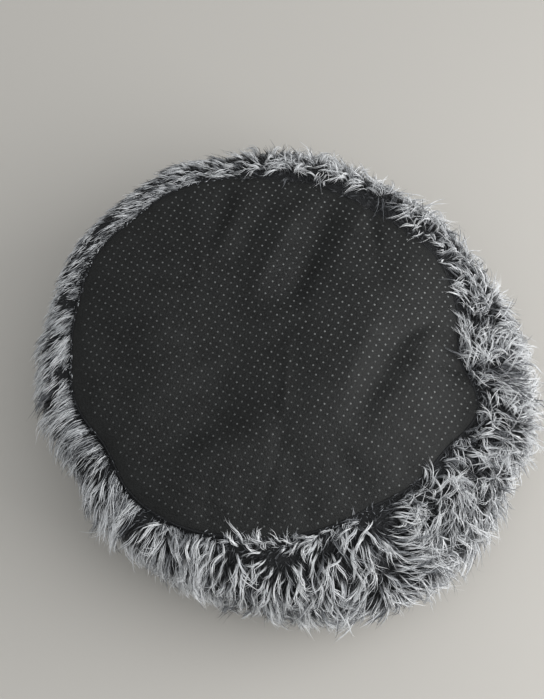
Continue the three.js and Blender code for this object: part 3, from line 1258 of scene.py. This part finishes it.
@dataclass
class Groomer:
    """Grows hair on a skin in locks and lays it in the nap."""

    shape: BedShape
    seed: int
    nap: Nap = Nap()
    on_rim: bool = True  # whether the skin starts at the base seam, whose rules hold then
    stray: Stray = Stray()
    bend: Bend = Bend()
    fill: Fill = Fill()
    tint: Tint = Tint()
    lump_seeds: tuple[int, int, int] = (11, 12, 13)
    patch_seed: int = 14
    bend_seed: int = 15
    floor_clearance: float = 0.0007
    floor_play: float = 0.0015  # how uneven the hair that lies on the floor is
    floor_squash: float = 0.1  # what is left of how far such hair goes below the floor
    floor_deepest: float = 0.02  # and the most that counts
    panel_clearance: float = 0.0011
    panel_lowest: float = 0.14
    root_lift: float = 0.0008
    jitter: Pair = (0.45, 0.4)  # of a lock's place, as shares of the spacing
    patch: float = 0.011  # size of the patches where long hair is missing
    patch_chance: float = 0.4  # how much chance adds to them
    band_edge: Pair = (0.6, 1.6)  # where the long hair comes in, in widths of the bare band
    lump: float = 0.035  # size of the lumps in which locks lie alike
    bend_lump: float = 0.024  # size of the lumps in which they bend alike
    least_band: float = 0.0005
    covered: Pair = (0.1, 0.12)  # past here the long hair covers nearly all
    wildness: Pair = (0.12, 0.55)  # how mixed a calm and a wild stretch are
    parting: float = 0.018  # from here down all pile comes to lie away from the seam
    lap_parting: float = 0.026  # the same for locks that lie over the seam
    settled: float = 0.06  # by here it does
    settled_away: float = 0.5  # how far away at least
    least_away: Pair = (0.05, -2.0)  # the same for a lock in firm nap, and in any other
    beside: float = 0.15  # how far the locks beside a lapping one lie away
    short: float = 0.75  # their length, as a share, where the nap lies over the seam this much
    short_from: float = -0.5
    fade: Pair = (-0.006, 0.026)  # where the nap comes in again below the seam
    full_length: float = 0.03  # from here down the pile has its full length
    seam_length: float = 0.8  # the share of it that it has at the seam
    under_full_length: float = 0.014  # both for the under coat
    under_seam_length: float = 0.45
    overhang: float = 0.009  # how far a lapping lock reaches past the seam
    firm: float = 0.68  # where the nap lies away more than this, no lock turns back
    strands: int = 3  # in a split lock
    strand_gap: float = 0.0024  # between their roots
    strand_spread: float = 0.005  # between their tips
    calm_reach: float = 0.0050  # least spread of a calm lock
    wander: float = 0.0014  # of a hair's tip off its lock
    ripple: float = 0.0007  # of a hair along its way
    pale_ends: Pair = (0.003, 0.016)  # hair rooted this near the seam hides its root
    pale_band: Pair = (0.003, 0.008)  # and only where the bare band is this narrow

    def __post_init__(self) -> None:
        """Starts the random numbers."""
        self.rng = np.random.default_rng(self.seed)

    def lock_places(self, skin: Skin, span: Pair, spacing: float) -> tuple[Array, Array]:
        """Staggered rows of locks down the skin, each a little out of place.

        Args:
            skin: where they grow.
            span: the first and last row's distance down the profile.
            spacing: the distance between neighbours.

        Returns:
            Distances down the profile, and angles.
        """
        distances, angles = [], []
        down, along = self.jitter
        rows = max(int((span[1] - span[0]) / spacing), 1)
        for row in range(rows):
            distance = mix(span[0], span[1], (row + 0.5) / rows)
            level = int(np.searchsorted(skin.lengths, distance).clip(0, len(skin.lengths) - 1))
            ring = skin.points[level]
            girth = np.linalg.norm(np.roll(ring, -1, 0) - ring, axis=-1).sum()
            count = max(int(girth / spacing), 3)
            distances.append(distance + self.rng.uniform(-down, down, count) * spacing)
            place = np.arange(count) + self.rng.uniform(-along, along, count) + row % 2 / 2
            angles.append(place * math.tau / count)
        return np.clip(np.concatenate(distances), *span), np.concatenate(angles)

    def rooted(self, skin: Skin, span: Pair, coat: Coat) -> Locks:
        """Roots a coat's locks, fewer of them in the bare band and where the nap covers less.

        Args:
            skin: where they grow.
            span: the first and last distance down the profile.
            coat: the coat.

        Returns:
            The locks.
        """
        distance, angle = self.lock_places(skin, span, coat.spacing)
        band = np.maximum(around(self.nap.bare, angle), self.least_band)
        thinned = self.on_rim and not coat.under
        if thinned:
            inner, outer = self.band_edge
            share = mix(1 - coat.sparse, 1, smooth(distance, inner * band, outer * band))
            kept = self.rng.random(len(angle)) < share
            distance, angle, band = distance[kept], angle[kept], band[kept]
        locks = Locks(distance, angle, band, *skin.at(distance, angle))
        if thinned:
            patchy = waves(locks.root, self.patch, self.patch_seed)
            patchy = patchy + self.rng.normal(0, self.patch_chance, len(angle))
            locks = locks.part(patchy < around(self.nap.cover, angle) + smooth(distance, *self.covered))
        return locks

    def lie(self, locks: Locks, coat: Coat) -> Lie:
        """How each lock lies.

        On the rim a lock that lies over the seam ends just past it, and the others there are
        short and keep off it. Farther down all pile comes to lie away from the seam. Shared
        lumps and chance then turn the locks apart, as much as the nap is mixed.

        Args:
            locks: the locks.
            coat: how they grow.

        Returns:
            How they lie.
        """
        rng, stray, count, distance = self.rng, self.stray, len(locks.angle), locks.distance
        tables = (self.nap.away, self.nap.turn, self.nap.mixed, self.nap.split, self.nap.lap)
        away, turn, mixed, split, lap = (around(table, locks.angle) for table in tables)
        lumps = np.stack([waves(locks.root, self.lump, seed) for seed in self.lump_seeds], -1)
        wild = smooth(mixed, *self.wildness)
        over = (away < 0) & (rng.random(count) < lap) & (not coat.under)
        short = mix(self.short, 1, smooth(away, self.short_from, 0))
        if self.on_rim:
            away = np.where((away < 0) & ~over, self.beside, away)
            parting = np.where(over, self.lap_parting, self.parting)
            away = mix(away, np.maximum(away, self.settled_away), smooth(distance, parting, self.settled))
            fading = mix(1, smooth(distance, *self.fade), wild)
            away = np.where(away > 0, away * fading, away)
        least = np.where(away > self.firm, *self.least_away)
        chance = rng.normal(0, stray.away[1], count) * (1 + stray.split_away * split)
        away = np.maximum(away + mixed * (stray.away[0] * lumps[:, 0] + chance), least)
        chance = rng.normal(0, stray.turn[1], count) * (1 + split)
        turn = turn + mixed * (stray.turn[0] * lumps[:, 1] + chance)
        share = 1 + stray.length[0] * lumps[:, 2] + rng.normal(0, stray.length[1], count)
        length = coat.length * np.clip(share, *stray.lengths)
        if self.on_rim:
            length = length * mix(self.seam_length, 1, smooth(distance, 0, self.full_length))
            length = length * around(self.nap.long, locks.angle)
            length = np.where(over, np.minimum(length, distance + self.overhang), length * short)
        if self.on_rim and coat.under:
            grown = smooth(distance, 0, self.under_full_length)
            length = length * mix(self.under_seam_length, 1, grown)
        lay = locks.down * away[:, None] + locks.side * turn[:, None]
        return Lie(lay, length, lumps, wild, split, over)

    def lean(self, locks: Locks, lie: Lie, coat: Coat, t: Array) -> Array:
        """The locks' paths, each the running sum of its direction.

        The direction starts along the normal and turns into the nap and down, with a curl and a
        sway about an axis of the lock's own.

        Args:
            locks: the locks.
            lie: how they lie.
            coat: how they grow.
            t: the stations along a hair, from 0 to 1.

        Returns:
            The paths from their roots, as (locks, stations, 3).
        """
        rng, bend, count = self.rng, self.bend, len(locks.angle)
        upright = ((1 - t) ** bend.upright + coat.keep) * around(self.nap.stand, locks.angle)[:, None]
        laid = bend.laid[0] + bend.laid[1] * t
        heading = (
            upright[..., None] * locks.normal[:, None]
            + coat.lay * laid[:, None] * lie.lay[:, None]
            + np.array([0, 0, -1]) * (coat.fall * t**bend.fallen)[:, None]
        )
        calmed = mix(bend.calm, 1, lie.wild)
        shared, chance = bend.varies
        bent = shared * waves(locks.root, self.bend_lump, self.bend_seed) + rng.normal(0, chance, count)
        swing = coat.curl * bent * calmed
        hooked = rng.random(count) < coat.hooked * lie.wild
        swing = np.where(hooked, np.sign(swing) * rng.uniform(*bend.hooked, count), swing)
        axis = unit(rng.normal(size=(count, 3)) * bend.tilt + locks.normal)
        beats = rng.uniform(*bend.beats, (count, 1))
        start = rng.uniform(0, math.tau, (count, 1))
        sway = coat.wave * np.sin(math.tau * beats * t + start) * smooth(t, *bend.sways) * calmed[:, None]
        heading = turned_about(unit(heading), axis[:, None], swing[:, None] * t**2 + sway)
        step = (heading[:, 1:] + heading[:, :-1]) / 2 * (lie.length / (coat.stations - 1))[:, None, None]
        return np.concatenate([np.zeros((count, 1, 3)), np.cumsum(step, 1)], 1)

    def paths(self, locks: Locks, lie: Lie, coat: Coat, t: Array, top: float) -> tuple[Array, Array]:
        """Fills the locks with hairs.

        A hair follows its lock's path from its own root and draws in to it, apart from loose
        hairs. In a split lock it keeps to one of a few strands, which stand apart.

        Args:
            locks: the locks.
            lie: how they lie.
            coat: how it grows.
            t: the stations along a hair.
            top: the distance down the profile that no root goes above.

        Returns:
            Each hair's lock, and its path.
        """
        rng, fill, wild, split = self.rng, self.fill, lie.wild, lie.split
        lean = self.lean(locks, lie, coat, t)
        full = coat.hairs * mix(coat.dense, 1, wild) * mix(1, fill.split_hairs, split)
        owner = np.repeat(np.arange(len(wild)), rng.poisson(full).clip(coat.hairs // 2, coat.hairs * 2))
        count = len(owner)
        down, side, room = locks.down[owner], locks.side[owner], top - locks.distance[owner]

        spot = rng.uniform(0, math.tau, count)
        strand = owner * self.strands + rng.integers(0, self.strands, count)
        apart = rng.normal(size=(len(wild) * self.strands, 5))[strand] * split[owner, None]
        widest = mix(max(self.calm_reach, coat.spread), coat.spread, wild)
        widest = widest * mix(1, fill.split_reach, split)
        reach = widest[owner] * np.sqrt(rng.random(count))
        lower = np.maximum(np.cos(spot) * reach, room)
        offset = lower[:, None] * down + (np.sin(spot) * reach)[:, None] * side
        lower = np.maximum(self.strand_gap * apart[:, 0], room - lower)
        parted = lower[:, None] * down + self.strand_gap * apart[:, 1:2] * side

        loose = rng.random(count) < coat.loose * mix(1, fill.split_loose, split)[owner]
        held = coat.gather * mix(fill.calm_gather, 1, wild) * rng.uniform(*fill.gathers, len(wild))
        held = np.where(lie.over, fill.lap_gather, held)
        gather = np.where(loose, fill.loose_gather * wild[owner], held[owner])
        drawn = 1 - gather[:, None] * t**fill.draws
        grown = rng.uniform(*fill.grows, count)
        free, kept = mix(*fill.loose_wander, wild), mix(1, fill.split_wander, split)
        freedom = np.where(loose, free[owner], kept[owner])
        wander = rng.normal(0, self.wander, (count, 3)) * freedom[:, None]
        ripple = rng.normal(0, self.ripple, (count, 3))
        beat = np.sin(t * math.tau * fill.ripples + rng.uniform(0, math.tau, (count, 1))) * t
        return owner, (
            (locks.root + locks.normal * self.root_lift)[owner][:, None]
            + lean[owner] * grown[:, None, None]
            + offset[:, None] * drawn[..., None]
            + parted[:, None]
            + (wander + self.strand_spread * apart[:, 2:])[:, None] * (t**2)[:, None]
            + ripple[:, None] * beat[..., None]
        )

    def tones(self, locks: Locks, lie: Lie, coat: Coat, owner: Array) -> tuple[Array, Array]:
        """Each hair's tone: its lock's, dimmed and varied, and paler beside the seam.

        Args:
            locks: the locks.
            lie: how they lie.
            coat: how they grow.
            owner: each hair's lock.

        Returns:
            The tones, and the shares of the dark roots that are skipped.
        """
        rng, tint, wild = self.rng, self.tint, lie.wild
        bright = np.clip(rng.normal(*tint.bright, len(wild)) + tint.lumps * lie.lumps[:, 1], 0, 1)
        dim = np.where(rng.random(len(wild)) < coat.dim, tint.dim_lock, 1.0)[owner]
        dim = dim * np.where(rng.random(len(owner)) < coat.dim, tint.dim_hair, 1.0)
        tones = mix(*coat.tone, bright)[owner] * dim
        tones = tones + rng.normal(0, 1, len(owner)) * mix(*tint.chance, wild)[owner]
        tones = np.clip(tones * mix(tint.calm, 1, wild)[owner], 0, 1)
        pale = (1 - smooth(locks.distance, *self.pale_ends)) * (1 - smooth(locks.band, *self.pale_band))
        pale = (pale * self.on_rim)[owner]
        return np.clip(tones + (tint.paler * pale if coat.under else 0), 0, 1), tint.bared * pale

    def grow(self, skin: Skin, span: Pair, coat: Coat) -> Hairs:
        """Grows one kind of hair over a stretch of skin.

        Args:
            skin: where it grows.
            span: the first and last distance down the profile.
            coat: how it grows.

        Returns:
            The hairs, which swell a little along the way and end thin.
        """
        locks = self.rooted(skin, span, coat)
        lie = self.lie(locks, coat)
        t = np.linspace(0, 1, coat.stations)
        owner, paths = self.paths(locks, lie, coat, t, span[0])
        paths = self.kept_clear(paths, t)
        taper = (0.75 + 0.35 * np.sin(math.pi * t)) * (1 - 0.85 * t**2.5)
        slim = mix(coat.dense**-0.7, 1, lie.wild) * mix(1, self.fill.split_width, lie.split)
        varied = self.rng.uniform(*self.fill.widths, (len(owner), 1))
        radii = coat.width / 2 * slim[owner, None] * varied * taper
        tones, starts = self.tones(locks, lie, coat, owner)
        bent = np.cross(paths[:, 1] - paths[:, 0], paths[:, -1] - paths[:, -3])
        axes = unit(bent + 1e-5 * self.rng.normal(size=(len(owner), 3)))
        return Hairs(paths, radii, tones, starts, axes, locks.angle[owner])

    def kept_clear(self, paths: Array, t: Array) -> Array:
        """Lifts hair off the floor, and off the base panel where the pile can lie over it.

        Args:
            paths: the hairs' paths.
            t: the stations along a hair.

        Returns:
            The lifted paths.
        """
        x, y, z = np.moveaxis(paths, -1, 0)
        deepest, squash = self.floor_deepest, self.floor_squash
        lowest = self.floor_clearance + self.floor_play * (0.5 + 0.5 * np.sin(x * 900 + y * 700))
        z = np.where(z < lowest, lowest + squash * np.maximum(z, -deepest) + squash * deepest, z)
        if self.on_rim:
            share, height = self.shape.panel_place(x, y)
            over = (share < 1.01) & (t > 0.15) & (z > self.panel_lowest)
            z = np.where(over, np.maximum(z, height + self.panel_clearance), z)
        return np.stack([x, y, z], -1)


def hair_object(name: str, batches: Sequence[Hairs]) -> bpy.types.Object:
    """One object of all the hairs in several batches.

    Args:
        name: the object's name.
        batches: the hairs, some batches of which can be empty.

    Returns:
        The object.
    """
    corners, quads, ends, quad_maps, end_maps, first = [], [], [], [], [], 0
    for batch in (each for each in batches if len(each.turns)):
        points, four, three, maps = batch.tubes()
        corners.append(points)
        quads.append(four + first)
        ends.append(three + first)
        quad_maps.append(maps[: four.size])
        end_maps.append(maps[four.size :])
        first += len(points)
    faces = [np.concatenate(quads), np.concatenate(ends)]
    return mesh_object(name, np.concatenate(corners), faces, np.concatenate(quad_maps + end_maps))


# Sub-assemblies


@dataclass
class Workshop:
    """What the sub-assemblies share: the bed's shape, its finishes and how a piece is entered."""

    shape: BedShape
    materials: dict[Any, bpy.types.Material] = field(default_factory=dict)

    def dress(self, piece: bpy.types.Object, finish: Any, slot: str, node: Optional[str] = None) -> None:
        """Gives a piece its finish and body, and hides the CAD node that it stands for.

        Args:
            piece: the piece.
            finish: its finish.
            slot: not used.
            node: the CAD node that it replaces.
        """
        if finish not in self.materials:
            self.materials[finish] = finish.material()
        piece.data.materials.append(self.materials[finish])
        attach(piece, BODY)
        if node:
            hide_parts(node)
        log.info("%s: %d faces", piece.name, len(piece.data.polygons))


@dataclass
class Base:
    """The dotted panel and the pad behind it."""

    shop: Workshop
    sides: int = 300
    pad_sides: int = 180
    dot_pitch: float = 0.0070
    dot_radius: float = 0.00128
    dot_shoulder: float = 0.62
    dot_height: float = 0.00042
    dot_sunk: float = 0.0004
    dot_sides: int = 8
    dot_rows: int = 45
    dot_free: Around = (0.018, 0.026, 0.022, 0.02, 0.025, 0.035, 0.05, 0.045, 0.03, 0.022, 0.02, 0.02)
    lattice_lean: float = 60.0

    def panel(self) -> None:
        """The black panel, a closed sheet that rolls over into its seam."""
        shape = self.shop.shape
        over = shape.turned(shape.panel(60), self.sides)
        under = shape.turned(shape.panel(16, shape.base_sheet), self.sides)
        piece = turned_body("base_panel_cloth", np.concatenate([under, over[::-1]]))
        self.shop.dress(piece, NonwovenFinish(), "dotted_nonwoven", "base_panel")

    def dots(self) -> None:
        """Low round dots on a square lattice over the panel's face.

        A dot is a ring on the face, a shoulder ring near the top, and a top, all laid on the
        panel's own height and slope. Close to the seam there are none.
        """
        shape = self.shop.shape
        steps = np.arange(-self.dot_rows, self.dot_rows + 1) * self.dot_pitch
        u, v = (grid.ravel() for grid in np.meshgrid(steps, steps))
        lean = math.radians(self.lattice_lean)
        x = u * math.cos(lean) - v * math.sin(lean) + shape.base_shift[0]
        y = u * math.sin(lean) + v * math.cos(lean) + shape.base_shift[1]
        kept = shape.panel_place(x, y)[0] < 1 - around(self.dot_free, np.arctan2(y, x))
        x, y = x[kept], y[kept]
        sides, count = self.dot_sides, len(x)
        turn = np.arange(sides) * math.tau / sides
        reach = np.array([1.0, self.dot_shoulder, 0.0])[:, None] * self.dot_radius
        px = x[:, None, None] + reach * np.cos(turn)
        py = y[:, None, None] + reach * np.sin(turn)
        rise = np.array([-self.dot_sunk, 0.8 * self.dot_height, self.dot_height])[:, None]
        points = np.stack([px, py, shape.panel_place(px, py)[1] + rise], -1)
        corners = np.concatenate([points[:, :2].reshape(count, 2 * sides, 3), points[:, 2, :1]], 1)
        low, high = np.arange(2 * sides).reshape(2, sides)
        first = (np.arange(count) * (2 * sides + 1))[:, None, None]
        walls = (band_faces(low, high) + first).reshape(-1, 4)
        caps = (np.stack([high, np.roll(high, -1), np.full(sides, 2 * sides)], -1) + first).reshape(-1, 3)
        bottoms = (low[::-1] + first[:, 0]).reshape(-1, sides)
        piece = mesh_object("anti_slip_dots", corners.reshape(-1, 3), [walls, caps, bottoms])
        self.shop.dress(piece, DotFinish(), "dotted_nonwoven")

    def pad(self) -> None:
        """The fibre pad between the panel, the lining and the nest floor."""
        shape = self.shop.shape
        gap, sheet = shape.fabric_gap, shape.lining_sheet
        seam, top = shape.nest_seam
        below = shape.nest_floor(seam - gap, top + gap, 10)
        ring = shape.lining() + (0, sheet + gap)
        reach = (shape.seam_radius - shape.seam_inset) / shape.base_radius
        above = shape.panel(24, shape.base_sheet + gap, reach)[::-1]
        rings = shape.turned(np.concatenate([below, ring, above]), self.pad_sides)
        piece = turned_body("base_pad", rings)
        self.shop.dress(piece, FIBRE, "fibre_filling", "base_filling")

    def build(self) -> None:
        """Builds the base."""
        self.panel()
        self.dots()
        self.pad()


@dataclass
class Rim:
    """The rim's filling, lining and covers, and all the fur."""

    shop: Workshop
    sides: int = 240
    filling_sides: int = 180
    skin_steps: int = 40
    skin_sides: int = 480
    nest_skin_sides: int = 360
    knit: float = 0.0018
    seam_free: float = 0.002  # beside the seam, where no long hair is rooted
    edge_depth: float = 0.0088  # how far down from the seam the fine hair reaches
    guard_depth: float = 0.10  # how far down the guard hair reaches
    crown_depth: float = 0.045  # how far up from the crown its own hair reaches
    wisp_start: float = 0.02
    guard: Coat = Coat(0.0063, 5, 0.035, 0.00095, (0.75, 1.0), spread=0.0015, gather=0.5, curl=0.45,
                       dense=1.35, dim=0.16)  # fmt: skip
    edge: Coat = Coat(0.0034, 5, 0.021, 0.00075, (0.45, 0.9), stations=5, spread=0.002, gather=0,
                      hooked=0, sparse=1)  # fmt: skip
    lower: Coat = Coat(0.0078, 5, 0.030, 0.00100, (0.5, 0.95), stations=6, spread=0.0038, gather=0.5,
                       fall=0.5)  # fmt: skip
    crown: Coat = Coat(0.0105, 6, 0.028, 0.00120, (0.3, 0.9), stations=5, spread=0.009, gather=0.1,
                       fall=0.5)  # fmt: skip
    under: Coat = Coat(0.0078, 6, 0.014, 0.0011, (0.0, 0.25), stations=3, gather=0.1, hooked=0,
                       loose=0.4, sparse=0)  # fmt: skip
    wisps: Coat = Coat(0.0094, 4, 0.030, 0.00050, (0.5, 0.95), stations=6, gather=0, curl=0.9, loose=1)
    nest: Coat = Coat(0.0140, 12, 0.030, 0.0013, (0.35, 0.95), stations=5, spread=0.011, gather=0.15,
                      fall=0.25, keep=0.3)  # fmt: skip
    nest_nap: Nap = Nap.even(0.5, 0.4)
    seed: int = 7
    nest_seed: int = 8

    def filling(self) -> None:
        """The loose fibre in the rim's tube."""
        shape = self.shop.shape
        gap = shape.fabric_gap
        outer = shape.outer_backing(20, gap)[::-1]
        inner = shape.inner_backing(20, gap)
        top = (shape.lining(16) - (0, gap))[::-1]
        rings = shape.turned(np.concatenate([outer, top[1:], inner[1:-1]]), self.filling_sides)
        piece = turned_body("rim_stuffing", rings)
        self.shop.dress(piece, FIBRE, "fibre_filling", "rim_filling")

    def lining(self) -> None:
        """The spunbond ring over the rim's tube."""
        shape = self.shop.shape
        under = shape.lining(16)
        over = under[::-1] + (0, shape.lining_sheet)
        piece = turned_body("lining_ring", shape.turned(np.concatenate([under, over]), self.filling_sides))
        self.shop.dress(piece, SpunbondFinish(), "spunbond", "inner_lining")

    def backing(self, name: str, there: Array, back: Array, node: str) -> bpy.types.Object:
        """A knit backing between two profiles that run the same way.

        Args:
            name: its name.
            there: the profile that its outline runs along first.
            back: the profile that its outline then runs back along.
            node: the CAD node that it replaces.

        Returns:
            The piece.
        """
        rings = self.shop.shape.turned(np.concatenate([there, back[::-1]]), self.sides)
        piece = turned_body(name, rings)
        self.shop.dress(piece, KNIT, "fur", node)
        return piece

    def outer_fur(self) -> list[bpy.types.Object]:
        """The outer wall's fur in eight stretches.

        Returns:
            The stretches, anticlockwise from +X.
        """
        shape = self.shop.shape
        skin = Skin.over(shape, shape.outer_backing(self.skin_steps), self.skin_sides)
        groomer = Groomer(shape, self.seed)
        end = skin.lengths[-1]
        foot = end - self.crown_depth
        batches = [
            groomer.grow(skin, (self.seam_free, self.guard_depth), self.guard),
            groomer.grow(skin, (self.seam_free, self.edge_depth), self.edge),
            groomer.grow(skin, (self.guard_depth, foot), self.lower),
            groomer.grow(skin, (foot, end), self.crown),
            groomer.grow(skin, (0.0, foot), self.under),
            groomer.grow(skin, (self.wisp_start, foot), self.wisps),
        ]
        eighths = [np.round(batch.turns / (math.tau / 8)).astype(int) % 8 for batch in batches]
        pieces = []
        for stretch in Stretch:
            chosen = [batch.part(eighth == stretch.value) for batch, eighth in zip(batches, eighths)]
            piece = hair_object(f"rim_fur_{stretch.name.lower()}", chosen)
            self.shop.dress(piece, FurFinish(), "fur")
            pieces.append(piece)
        return pieces

    def inner_fur(self) -> list[bpy.types.Object]:
        """The fur of the nest's wall and floor.

        Returns:
            The wall's and the floor's.
        """
        shape = self.shop.shape
        sides = self.nest_skin_sides
        wall = Skin.over(shape, shape.inner_backing(self.skin_steps), sides, True)
        floor = Skin.over(shape, shape.nest_floor(*shape.nest_seam)[1:], sides, True)
        groomer = Groomer(shape, self.nest_seed, self.nest_nap, False)
        on_wall = groomer.grow(wall, (0.0, wall.lengths[-1]), self.nest)
        on_floor = groomer.grow(floor, (self.seam_free, floor.lengths[-1]), self.nest)
        pieces = [hair_object("nest_wall_fur", [on_wall]), hair_object("nest_floor_fur", [on_floor])]
        for piece in pieces:
            self.shop.dress(piece, FurFinish(), "fur")
        return pieces

    def outer_cover(self) -> None:
        """The long-pile outer wall, from its lip at the base seam down to the crown."""
        shape, knit = self.shop.shape, self.knit
        gap = shape.fabric_gap
        lip = np.array([[shape.seam_radius, shape.base_edge - gap]])
        back = np.concatenate([lip - (gap, 0), shape.outer_backing(24)])
        face = np.concatenate([lip + (knit, 0), shape.outer_backing(24, -knit)])
        fur = self.outer_fur()
        piece = self.backing("outer_pelt_backing", back, face, "rim_cover_outer")

    def nest_covers(self) -> None:
        """The inner wall and the nest's floor."""
        shape, knit = self.shop.shape, self.knit
        back, face = shape.inner_backing(24), shape.inner_backing(24, -knit)
        wall_fur, floor_fur = self.inner_fur()
        piece = self.backing("inner_pelt_backing", face, back, "rim_cover_inner")
        seam, top = shape.nest_seam
        seam = seam - shape.fabric_gap
        back, face = shape.nest_floor(seam, top), shape.nest_floor(seam, top - knit)
        piece = self.backing("nest_pelt_backing", face, back, "nest_cover")

    def build(self) -> None:
        """Builds the rim and the nest."""
        self.filling()
        self.lining()
        self.outer_cover()
        self.nest_covers()


@dataclass(frozen=True)
class Lamp:
    """A square soft light that faces the bed."""

    name: str
    place: Place
    power: float
    size: float = 1.8

    def build(self) -> None:
        """Hangs the light at its place and turns it to the bed."""
        data = bpy.data.lights.new(self.name, "AREA")
        data.shape, data.size, data.energy = "SQUARE", self.size, self.power
        lamp = bpy.data.objects.new(self.name, data)
        bpy.context.scene.collection.objects.link(lamp)
        lamp.location = self.place
        x, y, z = self.place
        lamp.rotation_euler = (0, math.acos(z / math.hypot(x, y, z)), math.atan2(y, x))


@dataclass
class Studio:
    """The floor, the lights and the camera."""

    floor_color: Color = (0.502, 0.482, 0.449)
    floor_reach: float = 4.0
    lamps: tuple[Lamp, ...] = (
        Lamp("window", (1.5, -0.22, 0.62), 33.0),
        Lamp("ceiling", (0.5, -0.15, 1.9), 8.5),
    )
    room_strength: float = 0.60
    room_color: Color = (0.97, 0.99, 1.0)
    camera_place: Place = (-0.0159, -0.3756, 1.418)
    camera_tilt: float = 17.0
    lens: float = 69.53
    sensor: float = 36.0

    def floor(self) -> None:
        """A plain pale matt floor."""
        bench = Bench("plain_floor")
        bench.finish(Base_Color=self.floor_color, Roughness=0.6, Specular_IOR_Level=0.3)
        corners = np.array([[-1, -1, 0], [1, -1, 0], [1, 1, 0], [-1, 1, 0]]) * self.floor_reach
        floor = mesh_object("floor", corners, [np.array([[0, 1, 2, 3]])])
        floor.data.materials.append(bench.material)

    def world(self) -> None:
        """Even light from all round."""
        world = bpy.data.worlds.new("soft_room")
        bpy.context.scene.world = world
        world.use_nodes = True
        background = world.node_tree.nodes["Background"]
        background.inputs["Color"].default_value = (*self.room_color, 1.0)
        background.inputs["Strength"].default_value = self.room_strength

    def camera(self) -> None:
        """The camera at the photograph's angle."""
        data = bpy.data.cameras.new("camera")
        data.sensor_fit, data.sensor_height, data.lens = "VERTICAL", self.sensor, self.lens
        camera = bpy.data.objects.new("camera", data)
        bpy.context.scene.collection.objects.link(camera)
        camera.location = self.camera_place
        camera.rotation_euler = (math.radians(self.camera_tilt), 0, 0)
        bpy.context.scene.camera = camera

    def build(self) -> None:
        """Sets up the studio."""
        bpy.context.scene.view_settings.view_transform = "Standard"
        self.floor()
        for lamp in self.lamps:
            lamp.build()
        self.world()
        self.camera()


def main() -> None:
    """Builds the bed and its studio."""
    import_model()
    shape = BedShape()
    shop = Workshop(Cushion(shape).settled())
    Base(shop).build()
    Rim(shop).build()
    Studio().build()


if __name__ == "__main__":
    logging.basicConfig(level=logging.INFO, format="%(message)s")
    main()
